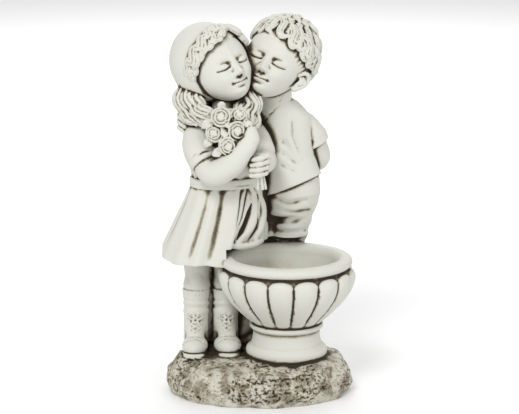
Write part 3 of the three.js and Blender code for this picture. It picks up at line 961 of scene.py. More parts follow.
    def hair_mass(self) -> Surface:
        """The mass under the locks: an ellipsoid with fine grooves that bend on their way down."""
        bearing, fall = sphere_angles(200, 360)
        fine = np.abs(np.sin(bearing * 20 + 4.0 * np.sin(fall * 3.4))) * 0.02
        swell = self.mass - 0.01 + fine * np.sin(fall)
        x, y, z = self.mass_middle
        across = x + np.sin(fall) * np.sin(bearing) * 0.445 * swell
        deep = y - np.sin(fall) * np.cos(bearing) * 0.46 * swell
        return closed(self.to_part(xyz(across, deep, z + np.cos(fall) * 0.49 * swell)))


@dataclass
class Chisel:
    """Lays lines on the casting's skin and cuts them in or raises them, in millimetres."""

    casting: Casting
    canon: Canon
    reach: float = 70.0
    step: float = 0.5

    def drape(self, points: Array, toward: Point = VIEWED) -> Array:
        """Moves points along a direction to where the casting begins.

        Args:
            points: places in millimetres.
            toward: the direction looked in.

        Returns:
            The place where the distance falls to zero along each line, evened out along the row of points.
        """
        way = unit_rows(np.asarray(toward, dtype=float))
        shifts = np.arange(-self.reach, self.reach, self.step)
        lines = points[:, None] + shifts[None, :, None] * way
        inside = self.casting.depth[self.casting.cells(lines)] < 0
        first = np.where(inside.any(axis=1), shifts[np.argmax(inside, axis=1)], 0.0)
        for _ in range(3):
            depth = self.casting.sample(self.casting.depth, points + first[:, None] * way)
            first = first + np.clip(depth, -1.0, 1.0) * 0.8
        for _ in range(4):
            first[1:-1] = 0.25 * first[:-2] + 0.5 * first[1:-1] + 0.25 * first[2:]
        return points + first[:, None] * way

    def _line(self, path: Sequence[Point], offset: float, toward: Point) -> Array:
        """A smooth path laid on the skin, lifted off it by the offset.

        Args:
            path: places in the figures' thousandths.
            offset: how far the line is lifted, in millimetres.
            toward: the direction looked in.

        Returns:
            The line's points, in millimetres.
        """
        given = np.array([self.canon.place(p) for p in path])
        fine = curve_through(given, np.linspace(0, 1, 10 * len(given)))
        way = unit_rows(np.asarray(toward, dtype=float))
        return self.drape(fine, toward) - way * offset

    def score(
        self,
        path: Sequence[Point],
        width: float = 1.6,
        depth: float = 1.0,
        joint: Joint = Joint.CRISP,
        toward: Point = VIEWED,
    ) -> None:
        """Cuts a groove along a path.

        Args:
            path: places in the figures' thousandths.
            width: its radius, in millimetres, as is its depth.
            depth: how far it goes in.
            joint: how softly its edges are rounded.
            toward: the direction in which the path is laid on the skin.
        """
        line = self._line(path, width - depth, toward)
        end = max(width * 0.4, width - depth)
        self.casting.cut(tube(line, [end, width, width, width, end], steps=60, sides=20), joint)

    def raise_line(
        self,
        path: Sequence[Point],
        region: Region,
        width: float = 1.6,
        height: float = 1.0,
        joint: Joint = Joint.CRISP,
    ) -> None:
        """Raises a welt along a path, seen from the front.

        Args:
            path: places in the figures' thousandths.
            region: what the welt shows.
            width: its radius, in millimetres, as is its height.
            height: how far it stands out.
            joint: how softly its edges are rounded.
        """
        line = self._line(path, height - width, VIEWED)
        welt = tube(line, [width * 0.5, width, width, width, width * 0.5], steps=60, sides=12)
        self.casting.add(region, joint, welt)


def at_depth(y: float, *places: tuple[float, float]) -> list[list[float]]:
    """A path at one depth, from pairs of x and z."""
    return [[x, y, z] for x, z in places]


def finger_set(
    canon: Canon, knuckle: Point, tip: Point, fan: Point, bulge: Point, radius: float
) -> list[Surface]:
    """Fingers side by side from knuckles to tips, bent round what they hold.

    Args:
        canon: the figures' proportions.
        knuckle: middle of the knuckles.
        tip: middle of the tips.
        fan: how the fingers are spread from first to last.
        bulge: how far their middles stand off the straight line.
        radius: their thickness.

    Returns:
        One limb for each finger.
    """
    made = []
    for i in range(4):
        shift = (i - 1.5) / 3
        start = [v + f * shift for v, f in zip(knuckle, fan)]
        end = [v + f * shift * 0.9 for v, f in zip(tip, fan)]
        bend = [(a + b) / 2 + c for a, b, c in zip(start, end, bulge)]
        size = radius * (1.0 - 0.12 * abs(shift) * 2)
        radii = [size, size * 0.94, size * 1.04, size * 0.9, size * 0.78]
        made.append(canon.limb([start, bend, end], radii, steps=24))
    return made


@dataclass(frozen=True)
class Shoe:
    """A laced ankle boot under a ribbed sock, in thousandths of the figures' height."""

    canon: Canon
    x: float
    y: float
    turn: float
    width: float
    length: float
    shaft_top: float = 122.0
    shaft: float = 36.0

    def trace(self, *stations: Point) -> list[list[float]]:
        """Places from their distance ahead of the heel, their distance to the side, and their height.

        Args:
            *stations: distance, side and height of each place.

        Returns:
            The places, in the figures' thousandths.
        """
        a = math.radians(self.turn)
        return [
            [
                self.x + math.sin(a) * distance + math.cos(a) * side,
                self.y - math.cos(a) * distance + math.sin(a) * side,
                height,
            ]
            for distance, side, height in stations
        ]

    def carve(self, casting: Casting) -> None:
        """Puts the boot into the casting: toe, shaft with its wrinkles, instep and sole.

        Args:
            casting: the casting.
        """
        canon, x, y, width, length = self.canon, self.x, self.y, self.width, self.length
        toe = canon.egg(
            *self.trace((length * 0.36, 0, 24)),
            [width, length * 0.46, 31],
            self.turn,
            swell=lambda bearing, fall: 1 + 0.05 * bump(bearing, 0.7) * np.sin(fall) ** 2,
        )
        casting.add(Region.BOOTS, Joint.CARVED, toe)
        shaft = canon.limb(
            [[x, y, self.shaft_top], [x, y - 1, 80], *self.trace((4, 0, 30))],
            [self.shaft, self.shaft + 0.5, self.shaft + 1, self.shaft + 1],
            relief=lambda angle, t: 1 + 0.02 * np.sin(t * 30 + 2 * np.sin(angle)) * smoothstep(t, 0.3, 0.8),
            cap=0.2,
            sides=60,
        )
        ankle = self.trace((14, 0, 92), (length * 0.3, 0, 52))
        casting.add(Region.BOOTS, Joint.SOFT, shaft, canon.limb(ankle, [22, 26, 24], wide=1.1, sides=40))
        sole = canon.limb(
            self.trace((-16, 0, 7), (length * 0.4, 0, 7), (length * 0.7, 0, 7)),
            [31, width - 0.5, width * 0.82],
            flat=0.34,
            out=lambda centre: np.tile([0.0, 0.0, 1.0], (len(centre), 1)),
            sides=48,
        )
        casting.add(Region.BOOTS, Joint.CRISP, sole)

    def lace(self, chisel: Chisel) -> None:
        """Lays the toe cap's seam, the edges of the lacing, the crossed laces and their bow on the boot.

        Args:
            chisel: what lays lines on the casting.
        """
        across = (-1, -0.5, 0, 0.5, 1)
        cap = [(self.length * 0.5, s * self.width * 0.95, 30 + 20 * (1 - s * s)) for s in across]
        chisel.score(self.trace(*cap), 1.5, 0.9)
        edges = ([(24 - 3 * k, s * (14 + 1.5 * k), 58 + 12 * k) for k in range(5)] for s in (-1, 1))
        laces = [(edge, 1.5, 0.9) for edge in edges]
        for k in range(4):
            low, high = 58 + 13 * k, 72 + 13 * k
            for s in (-1, 1):
                laces.append(([(20, -s * 15, low), (26, 0, (low + high) / 2), (18, s * 15, high)], 1.35, 1.5))
        for s in (-1, 1):
            loop = [(24, 0, 104), (22, s * 12, 116), (20, s * 22, 106), (22, s * 12, 99), (24, 0, 103)]
            laces.append((loop, 1.5, 1.7))
            laces.append(([(24, 0, 102), (24, s * 9, 90), (26, s * 15, 76)], 1.3, 1.4))
        for stations, width, height in laces:
            chisel.raise_line(self.trace(*stations), Region.BOOTS, width, height)
        heel = self.trace(*((-20, s * 30, 26) for s in (-1, 0, 1)))
        chisel.score(heel, 1.4, 0.8, toward=FROM_BEHIND)


@dataclass(frozen=True)
class Girl:
    """The girl in a close hat, blouse, belted pleated skirt, socks and laced boots."""

    canon: Canon
    head: Head

    @property
    def shoes(self) -> tuple[Shoe, Shoe]:
        """Her right boot and her left."""
        return (
            Shoe(self.canon, -188, 60, -3, 38, 130),
            Shoe(self.canon, -101, 66, 8, 41, 128),
        )

    def hat(self) -> Surface:
        """The hat: an ellipsoid over the back of the head, cut off flat where the brim ends."""
        bearing, fall = sphere_angles(200, 560)
        up, front = np.cos(fall), np.sin(fall) * np.cos(bearing)
        right = np.sin(fall) * np.sin(bearing)
        swell = 1 + 0.05 * smoothstep(-up, 0.1, 0.6)
        dents = 0.012 * np.sin(bearing * 3 + 1.0) * np.sin(fall) * smoothstep(fall, 0.4, 1.4)
        seam = bump(np.abs(bearing) - 1.75, 0.026) + bump(np.abs(bearing) - math.pi, 0.026)
        dents = dents - 0.016 * seam * smoothstep(fall, 0.2, 0.6)
        x = right * 0.47 * (swell + dents) - 0.035
        y = 0.17 - front * 0.49 * (swell + dents)
        z = 0.1 + up * 0.51 * (1 + dents * 0.5)
        edge = -0.05 - 0.36 * z
        return closed(self.head.to_part(xyz(x, np.maximum(y, edge), z)))

    def hair(self, casting: Casting) -> None:
        """The hair: a mass under the hat, waves along the brim, falls on the shoulders and the back hair.

        Args:
            casting: the casting.
        """
        bearing, fall = sphere_angles(120, 200)
        y = 0.06 - np.sin(fall) * np.cos(bearing) * (0.4 + 0.06 * np.cos(fall))
        z = 0.13 + np.cos(fall) * 0.41
        clear = np.where(z < 0.25, np.maximum(y, -0.06 + (0.25 - z) * 0.4), y)
        mass = closed(self.head.to_part(xyz(np.sin(fall) * np.sin(bearing) * 0.415, clear, z)))
        nape = self.canon.limb([[-76, 40, 700], [-66, 34, 790]], [30, 28])
        casting.add(Region.HAIR, Joint.CRISP, mass, *self.brim_waves(), *self.falls())
        casting.add(Region.HAIR, Joint.CARVED, nape)
        casting.add(Region.HAIR, Joint.CRISP, *self.back_hair())

    def brim_waves(self) -> Iterator[Surface]:
        """Two layers of waves on each side of the parting, swept back along the brim."""
        share = np.array([0.0, 0.16, 0.34, 0.52, 0.7, 0.86, 1.0])
        wave = np.array([0.0, 4.0, -5.5, 6.0, -7.0, -2.0, 7.0])
        lifts = np.array([0.0, 0.045, 0.062, 0.05, 0.066, 0.058, 0.06])
        places = [(-1, 30.0, k, layer) for k in range(6) for layer in range(2)]
        places += [(1, 34.0, k, layer) for k in range(4) for layer in range(2)]
        for way, parting, k, layer in places:
            start = parting + way * (21.0 * k + 10.0 * layer)
            swept = start + way * 40.0 * share - way * 7.0 * (share > 0.95)
            hairline = 34.0 - 26.0 * (np.abs(swept) / 60.0) ** 1.7
            sway = wave * (1 + 0.25 * math.sin(k * 2.1 + layer))
            rise = hairline + 20.0 - 8.0 * layer - (22.0 - 7.0 * layer) * share + sway
            path = self.head.over_skull(swept, rise, lifts - 0.012 * layer)
            yield self.head.lock(path, 0.064 - 0.008 * layer, k * 3 + layer)

    def falls(self) -> Iterator[Surface]:
        """The locks that fall on her shoulders, waved from side to side."""
        paths = [
            [[-186, 20, 826], [-217, 10, 781], [-212, 0, 740], [-170, -34, 716], [-142, -66, 684]],
            [[-194, 26, 820], [-226, 20, 775], [-222, 8, 738], [-188, -14, 712], [-158, -48, 690]],
            [[-200, 36, 815], [-233, 32, 765], [-226, 20, 728], [-200, -2, 704], [-182, -30, 694]],
            [[-176, 10, 815], [-200, -6, 775], [-192, -22, 742], [-156, -50, 724], [-132, -72, 704]],
            [[-205, 50, 810], [-232, 52, 756], [-222, 46, 712], [-204, 38, 676], [-206, 40, 650]],
            [[-170, 8, 800], [-180, -14, 768], [-170, -30, 746], [-146, -56, 736], [-134, -66, 720]],
            [[-40, 24, 800], [-24, 0, 765], [-18, -16, 732], [-32, -40, 706], [-52, -60, 690]],
            [[-50, 26, 796], [-38, -2, 762], [-34, -22, 736], [-48, -46, 716], [-62, -62, 704]],
            [[-34, 34, 790], [-12, 14, 756], [-8, 0, 722], [-18, -26, 694], [-36, -50, 676]],
            [[-62, 30, 796], [-56, 4, 760], [-52, -14, 738], [-60, -40, 720], [-70, -56, 706]],
        ]
        for k, points in enumerate(paths):
            comb = Strands(count=6, depth=0.36, twist=2.4 * math.sin(k * 1.9))
            t = np.linspace(0, 1, 17)
            waved = curve_through(points, t)
            waved[:, 0] += 6.5 * np.sin(t * 14.0 + 0.5 * k) * np.sin(t * math.pi)
            waved[:, 1] -= 3.0 * np.cos(t * 14.0 + 0.5 * k) * np.sin(t * math.pi)
            yield self.canon.limb(waved, [13, 17, 18, 15, 6], relief=comb.relief, steps=80, sides=56)

    def back_hair(self) -> Iterator[Surface]:
        """The plainer locks down her back."""
        for k in range(7):
            across = (k - 3) * 17
            sway = 7 if k % 2 else -7
            path = [
                [-150 + across * 0.8, 92 - abs(across) * 0.25, 812],
                [-136 + across + sway, 112 - abs(across) * 0.35, 740],
                [-132 + across - sway, 128 - abs(across) * 0.35, 680],
                [-132 + across * 0.8 + sway * 0.6, 130 - abs(across) * 0.3, 636 + abs(across) * 0.3],
            ]
            comb = Strands(count=7, depth=0.3, twist=1.0 + 0.5 * k)
            yield self.canon.limb(path, [18, 20, 19, 15, 5], relief=comb.relief, steps=44, sides=56)

    def skirt_fold(self, bearing: Array, rise: Array) -> Array:
        """How far the skirt's cloth stands out: valleys that open downwards, and the front panel's step.

        Each valley is a bell of a width and depth across a bearing that drifts from waist to hem.

        Args:
            bearing: angles from the front, in radians.
            rise: shares of the height, from the top.

        Returns:
            The relief, as a share of the radius.
        """
        opened = smoothstep(rise, 0.08, 0.5)
        faded = opened * (1 - 0.35 * smoothstep(rise, 0.55, 1.0))
        out = 0.035 + 0.004 * np.cos(bearing * 19 + 2 * rise) * opened
        for top, foot, width, depth in (
            (-1.42, -1.36, 0.16, 0.05),
            (-0.93, -0.91, 0.15, 0.085),
            (-0.5, -0.5, 0.15, 0.12),
            (0.98, 0.95, 0.14, 0.07),
            (1.6, 1.6, 0.2, 0.08),
            (2.25, 2.25, 0.2, 0.1),
            (2.62, 2.62, 0.1, 0.07),
            (2.98, 2.98, 0.13, 0.1),
            (-2.85, -2.85, 0.1, 0.07),
            (-2.4, -2.4, 0.16, 0.1),
            (-1.85, -1.8, 0.18, 0.08),
        ):
            out = out - bump(wrapped(bearing, lerp(top, foot, rise)), width) * depth * faded
        edge = wrapped(bearing, lerp(0.02, -0.17, rise))
        step = smoothstep(edge, 0.0, 0.05) * (1 - smoothstep(edge, 0.3, 0.9))
        return out + 0.02 * bump(edge + 0.05, 0.06) * opened - 0.09 * step * smoothstep(rise, 0.12, 0.4)

    def hem_drop(self, bearing: Array, rise: Array) -> Array:
        """How much lower the hem hangs: the folds' ridges dip, the part behind the panel is drawn up.

        Args:
            bearing: angles from the front, in radians.
            rise: shares of the height, from the top.

        Returns:
            The drop, in the figures' thousandths.
        """
        beside = wrapped(bearing, 0.4)
        drawn_up = 20 * smoothstep(beside, -0.6, -0.45) * bump(beside, 0.7)
        return (2.0 * np.cos(bearing * 6 + 0.6) - drawn_up) * smoothstep(rise, 0.5, 0.9)

    def clothes(self, casting: Casting) -> None:
        """The skirt with its belt, the blouse and its sleeves.

        Args:
            casting: the casting.
        """
        canon = self.canon
        levels = [
            [534, -95, 62, 96, 76],
            [526, -95, 62, 108, 84],
            [502, -95, 62, 108, 84],
            [496, -96, 62, 112, 86],
            [455, -102, 63, 124, 98],
            [410, -111, 64, 136, 110],
            [355, -123, 66, 150, 122],
            [310, -135, 66, 160, 130],
            [300, -139, 66, 163, 132],
            [306, -139, 66, 146, 112],
        ]
        skirt = canon.trunk(levels, 28, 0.07, 0.2, self.skirt_fold, self.hem_drop, rows=220, columns=520)
        blouse = canon.trunk(
            [
                [726, -94, 52, 40, 36],
                [704, -98, 56, 76, 56],
                [665, -102, 58, 98, 74],
                [610, -100, 58, 104, 84],
                [560, -98, 59, 110, 86],
                [528, -95, 62, 108, 84],
                [515, -95, 62, 96, 74],
            ],
            28,
            fold=lambda bearing, rise: (
                0.012 * np.cos(bearing * 17) * smoothstep(rise, 0.62, 0.85)
                + 0.012 * np.sin(bearing * 5 + rise * 9) * bump(rise - 0.6, 0.25)
            ),
            columns=360,
        )
        edges = ((530, 111, 86), (527, 114.5, 90), (503, 114.5, 90), (500, 111, 86))
        belt = canon.trunk([[z, -95, 62, wide, deep] for z, wide, deep in edges], 28, rows=60, columns=300)
        right = canon.limb(
            [[-168, 30, 668], [-177, 4, 636], [-166, -27, 602], [-160, -33, 594]],
            [42, 47, 48, 46, 42],
            relief=lambda angle, t: 1 + 0.025 * np.cos(angle * 6 + 3 * t) * smoothstep(t, 0.35, 0.85),
            sides=90,
        )
        cuff = canon.limb([[-164, -30, 600], [-154, -39, 586]], [47.5, 48.5, 47], sides=60, cap=0.12)
        left = canon.limb([[-35, 92, 668], [-10, 64, 630], [6, 36, 604]], [40, 43, 40], sides=80)
        casting.add(Region.CLOTH, Joint.CARVED, skirt)
        casting.add(Region.CLOTH, Joint.CRISP, blouse, belt)
        casting.add(Region.CLOTH, Joint.CARVED, right)
        casting.add(Region.CLOTH, Joint.CRISP, cuff)
        casting.add(Region.CLOTH, Joint.CARVED, left)

    def limbs(self, casting: Casting) -> None:
        """Neck, arms, hands, legs and socks.

        Args:
            casting: the casting.
        """
        canon = self.canon
        right = [[-160, -34, 588], [-134, -68, 560], [-84, -92, 586], [-40, -100, 640], [-24, -96, 664]]
        left = [[2, 40, 610], [14, 0, 584], [8, -52, 588], [4, -76, 588]]
        palms = canon.egg([9, -84, 588], [27, 22, 33], 20), canon.egg([20, -62, 590], [24, 26, 31], 20)
        casting.add(Region.SKIN, Joint.SOFT, canon.limb([[-98, 52, 700], [-100, 34, 790]], [40, 38]))
        casting.add(Region.SKIN, Joint.CRISP, canon.limb(right, [37, 39, 36, 30, 25], sides=60, steps=70))
        casting.add(Region.SKIN, Joint.SOFT, canon.egg([-26, -96, 672], [22, 20, 30], 10, 12))
        casting.add(Region.SKIN, Joint.CRISP, canon.limb(left, [34, 36, 31, 26], sides=60))
        casting.add(Region.SKIN, Joint.SOFT, *palms)
        fingers = finger_set(canon, [20, -102, 592], [-22, -104, 582], [5, 0, 50], [0, -12, 0], 9.8)
        casting.add(Region.SKIN, Joint.CRISP, *fingers)
        for points in (
            [[-186, 66, 310], [-185, 64, 215], [-186, 62, 160], [-188, 62, 30]],
            [[-98, 76, 310], [-98, 74, 215], [-99, 70, 160], [-101, 66, 30]],
        ):
            leg = canon.limb(points, [37, 40, 36, 41, 37, 35, 33, 33], sides=60, steps=70)
            casting.add(Region.SKIN, Joint.CARVED, leg)
            casting.add(Region.SKIN, Joint.SOFT, canon.egg(np.array(points[1]) + [0, -33, 8], [16, 8, 18]))
        slack = lambda angle, t: (
            1
            + 0.04 * np.sin(t * 24 + 1.6 * np.sin(angle)) * smoothstep(t, 0.25, 0.4)
            - 0.06 * (1 - np.abs(np.sin(angle * 11)) ** 0.5) * (1 - smoothstep(t, 0.16, 0.22))
        )
        for x, y in ((-187, 62), (-99.5, 69)):
            path = [[x, y, 186], [x, y, 150], [x - 1, y - 1, 106]]
            sock = canon.limb(path, [42, 40, 38.5, 37, 36], relief=slack, sides=140, steps=70, cap=0.1)
            casting.add(Region.CLOTH, Joint.CRISP, sock)

    def carve(self, casting: Casting) -> None:
        """Puts the girl into the casting.

        Args:
            casting: the casting.
        """
        self.clothes(casting)
        self.limbs(casting)
        for shoe in self.shoes:
            shoe.carve(casting)
        casting.add(Region.SKIN, Joint.CRISP, self.head.skull())
        self.hair(casting)
        casting.add(Region.CLOTH, Joint.CRISP, self.hat())

    def finish(self, chisel: Chisel) -> None:
        """Cuts seams, creases and laces, and lays the gathered folds beside the front panel.

        Args:
            chisel: what lays lines on the casting.
        """
        for shoe in self.shoes:
            shoe.lace(chisel)
        for width, height, path in (
            (5, 2, at_depth(-37, (-45, 506), (-56, 452), (-68, 393), (-82, 350))),
            (7, 3.5, at_depth(0, (-12, 505), (8, 440), (2, 388), (-16, 344))),
            (7, 4, at_depth(0, (-25, 503), (-12, 444), (-25, 388), (-64, 338))),
            (6, 3, at_depth(-9, (-82, 334), (-50, 330), (-16, 337), (6, 348))),
        ):
            chisel.raise_line(path, Region.CLOTH, width, height, Joint.SOFT)
        for width, depth, path in (
            (5, 8, at_depth(-18, (-26, 458), (-36, 420), (-50, 385), (-68, 354))),
            (2.5, 2, at_depth(-18, (-36, 500), (-42, 460), (-52, 410), (-72, 360))),
            (2.5, 2, at_depth(-18, (-6, 495), (-1, 440), (-10, 390), (-34, 346))),
        ):
            chisel.score(path, width, depth, Joint.CARVED)
        for k in range(3):
            ends = (-184 + 8 * k, 600 + 2 * k), (-152 + 9 * k, 618)
            chisel.score(at_depth(-20, ends[0], (-168 + 9 * k, 610 + 2 * k), ends[1]), 2.2, 1.6)
        chisel.score(at_depth(-20, (-75, 512), (-45, 512), (-18, 516)), 1.8, 1.2)


@dataclass(frozen=True)
class Rose:
    """A cupped bloom whose petals wind round its heart, in thousandths of the figures' height."""

    centre: Point
    radius: float
    facing: Point
    phase: float

    def surface(self, canon: Canon) -> Surface:
        """The bloom: a ball whose radius drops from each petal's lip to the gap before the next ring.

        A ring's lip lies at an angle off the axis that bows out over each petal and steps where two overlap;
        between two lips the radius falls with the share of the way from one to the next.

        Args:
            canon: the figures' proportions.

        Returns:
            The closed surface.
        """
        bearing, fall = sphere_angles(220, 300)
        lips = []
        for ring, (base, petals) in enumerate(((0.26, 1), (0.62, 2), (1.04, 3), (1.52, 4), (2.0, 5))):
            turn = TURN / petals
            off = np.mod(bearing + self.phase * 5 + ring * 2.1, turn) - turn / 2
            lips.append(base + 0.09 * np.cos(off * petals / 2) + 0.2 * off / turn - 0.05)
        beyond = np.clip(fall / lips[0], 0, 1) * 0.3
        for inner, outer in zip(lips, [*lips[1:], lips[-1] + 1.2]):
            beyond = np.where(fall >= inner, np.clip((fall - inner) / (outer - inner), 0.0, 1.0), beyond)
        lip = 1 - 0.3 * beyond**1.4 * (1 - smoothstep(fall, 2.0, 2.6)) + 0.06 * bump(beyond - 0.1, 0.12)
        cup = 1 - 0.12 * bump(fall, 0.5) + 0.07 * bump(fall - 1.2, 0.35)
        reach = self.radius * canon.unit * lip * cup
        axis = unit_rows(np.asarray(self.facing, dtype=float))
        right = unit_rows(np.cross(axis, [0.0, 0.0, 1.0]))
        up = np.cross(right, axis)
        local = (
            (np.sin(fall) * np.sin(bearing) * reach)[..., None] * right
            + (np.sin(fall) * np.cos(bearing) * reach)[..., None] * up
            + (np.cos(fall) * reach * 0.85)[..., None] * axis
        )
        return closed(local + canon.place(self.centre))


@dataclass(frozen=True)
class Bouquet:
    """Five roses with leaves, and stems that run down through the girl's fist."""

    canon: Canon
    roses: tuple[Rose, ...] = (
        Rose((-108, -86, 724), 30, (-0.15, -1, 0.35), 0.0),
        Rose((-126, -84, 680), 27, (-0.3, -1, 0.1), 0.35),
        Rose((-64, -92, 686), 30, (0.2, -1, 0.15), 0.6),
        Rose((-88, -100, 646), 28, (0.0, -1, 0.0), 0.15),
        Rose((-60, -74, 728), 25, (0.25, -1, 0.4), 0.8),
    )

    def carve(self, casting: Casting) -> None:
        """Puts the bouquet into the casting.

        Args:
            casting: the casting.
        """
        canon = self.canon
        casting.add(Region.FLOWERS, Joint.CARVED, canon.egg([-84, -58, 690], [58, 34, 56]))
        vein = lambda angle, t: 1 - 0.5 * bump(np.sin(angle / 2 - math.pi / 4), 0.12)
        for points in (
            [[-130, -80, 712], [-150, -88, 706], [-166, -82, 690]],
            [[-104, -90, 640], [-122, -98, 624], [-138, -92, 616]],
            [[-84, -88, 716], [-88, -102, 708], [-90, -106, 694]],
            [[-44, -88, 712], [-32, -96, 704], [-26, -88, 688]],
            [[-94, -90, 692], [-98, -104, 682], [-94, -108, 668]],
            [[-134, -78, 660], [-148, -84, 650], [-156, -80, 634]],
            [[-96, -70, 748], [-110, -74, 756], [-122, -70, 754]],
            [[-60, -88, 656], [-54, -100, 646], [-52, -102, 632]],
        ):
            leaf = canon.limb(points, [3, 12, 14, 9, 1.5], flat=0.26, relief=vein, sides=80)
            casting.add(Region.FLOWERS, Joint.CRISP, leaf)
        for i in range(5):
            dx, dy = math.cos(i / 5 * TURN) * 9, math.sin(i / 5 * TURN) * 8
            stations = ((-48, -88, 640, 1), (-24, -94, 604, 1), (0, -94, 560, 0.9), (6, -92, 520, 1.3))
            path = [[x + dx * spread, y + dy, z] for x, y, z, spread in stations]
            casting.add(Region.FLOWERS, Joint.CRISP, canon.limb(path, [5, 4.6, 4.6, 4.6, 4.4], sides=16))
        casting.add(Region.FLOWERS, Joint.CRISP, *(rose.surface(canon) for rose in self.roses))


@dataclass(frozen=True)
class Boy:
    """The boy in a T-shirt and short trousers, one arm behind his back and one on the girl's shoulder."""

    canon: Canon
    head: Head

    def hairline(self, bearing: float) -> float:
        """How high above the level the hair ends at a bearing, in degrees.

        Args:
            bearing: degrees from the face.

        Returns:
            The rise.
        """
        bearings = [-180, -130, -90, -45, -20, 0, 30, 60, 75, 100, 130, 180]
        rises = [-26, -24, -4, 14, 22, 20, 9, -2, -5, -16, -26, -26]
        return float(np.interp(bearing, bearings, rises))

    def sweeps(self) -> Iterator[Surface]:
        """Three rows of wavy locks that sweep down from the crown."""
        rows = [(15, 32, 1.0, 0.058), (14, 60, 0.62, 0.06), (10, 86, 0.4, 0.062)]
        for row, (count, start, share, width) in enumerate(rows):
            for i in range(count):
                bearing = (i + 0.5 * (row % 2)) / count * 360 - 180
                seed = row * 31 + i
                end = lerp(start, self.hairline(bearing + 8), share) + 4 * math.sin(seed * 5.1)
                if start - end > 14:
                    yield self.head.wavy_lock(bearing, (start, end), width, 14 + 8 * math.sin(seed), seed)

    def fringe(self) -> Iterator[Surface]:
        """The curls along the hairline, each swept away from the parting."""
        for i, bearing in enumerate((-72, -56, -40, -25, -12, 2, 15, 27, 38, 48, 57, 66, 76)):
            end = self.hairline(bearing) + 3 * math.sin(i * 2.9)
            way = -1.0 if bearing < -18 else 1.0
            sweep = way * (12 + 4 * math.sin(i * 1.7))
            path = self.head.over_hair(
                bearing + sweep * np.array([-1.1, -0.7, 0.2, 0.3, 0.8, 1.5]),
                lerp(min(70.0, end + 34), end, np.array([0.0, 0.18, 0.5, 0.86, 1.03, 0.94])),
                np.array([-0.01, 0.03, 0.036, 0.036, 0.034, 0.05]) + 0.01 * math.sin(i * 2.2),
            )
            yield self.head.lock(path, 0.056 + 0.006 * math.sin(i * 2.3), i + 3)

    def ear(self, casting: Casting) -> None:
        """The left ear: the shell, the rim that curls round it to the lobe, and the fold inside.

        Args:
            casting: the casting.
        """
        head = self.head
        heart = head.point(0, 0, -0.12)
        rim = [(375, -85, -60), (430, -60, -5), (475, -5, -20)]
        rim += [(480, 20, -100), (440, -15, -185), (385, -60, -235)]
        rim_radii = (0.022, 0.028, 0.03, 0.028, 0.03, 0.04)
        shell = [(385, -30, -60), (420, 0, -100), (390, -35, -180)]
        fold = [(425, -45, -60), (462, -10, -100), (425, -40, -160)]
        for places, shares, joint, style in (
            (shell, (0.05, 0.065, 0.045), Joint.CARVED, {"flat": 0.62, "out": lambda centre: centre - heart}),
            (rim, rim_radii, Joint.CRISP, {"sides": 24}),
            (fold, (0.012, 0.017, 0.014), Joint.CRISP, {"sides": 16}),
        ):
            path = [head.point(*(v / 1000 for v in place)) for place in places]
            casting.add(Region.SKIN, joint, tube(path, [share * head.size for share in shares], **style))

    def clothes(self, casting: Casting) -> None:
        """The T-shirt with its sleeve, and the short trousers.

        Args:
            casting: the casting.
        """
        canon = self.canon
        shirt = canon.trunk(
            [
                [766, 52, 122, 40, 36],
                [742, 58, 128, 50, 44],
                [714, 64, 134, 70, 56],
                [685, 68, 138, 84, 64],
                [630, 72, 138, 88, 70],
                [560, 76, 138, 88, 72],
                [500, 82, 138, 98, 82],
                [480, 84, 138, 102, 84],
                [472, 84, 138, 86, 66],
            ],
            -14,
            0.55,
            fold=lambda bearing, rise: 0.014 * np.sin(bearing * 6 - rise * 8) * smoothstep(rise, 0.4, 0.9),
            rows=220,
            columns=360,
        )
        sleeve = canon.limb(
            [[104, 144, 682], [132, 148, 656], [152, 152, 628], [160, 155, 610]],
            [38, 44, 47, 48],
            relief=lambda angle, t: 1 + 0.02 * np.sin(t * 14 + 2 * np.cos(angle)) * smoothstep(t, 0.2, 0.6),
            sides=80,
            cap=0.25,
        )
        hips = canon.trunk(
            [
                [545, 88, 142, 60, 56],
                [515, 90, 142, 88, 76],
                [462, 90, 144, 92, 80],
                [415, 82, 146, 84, 76],
                [385, 78, 148, 60, 60],
            ],
            -12,
            fold=lambda bearing, rise: 0.02 * np.sin(rise * 26 + bearing * 3) * smoothstep(rise, 0.4, 0.8),
        )
        casting.add(Region.CLOTH, Joint.CARVED, shirt, sleeve, hips)
        wrinkles = lambda angle, t: (
            1 + 0.03 * np.sin(t * 19 + 2.2 * np.sin(angle + 0.6)) * smoothstep(t, 0.1, 0.35)
        )
        for points in (
            [[116, 144, 450], [98, 148, 380], [86, 150, 312]],
            [[40, 150, 450], [10, 158, 380], [0, 160, 312]],
        ):
            leg = canon.limb(points, [62, 58, 56, 54, 52], relief=wrinkles, sides=90, steps=60, cap=0.2)
            casting.add(Region.CLOTH, Joint.SOFT, leg)

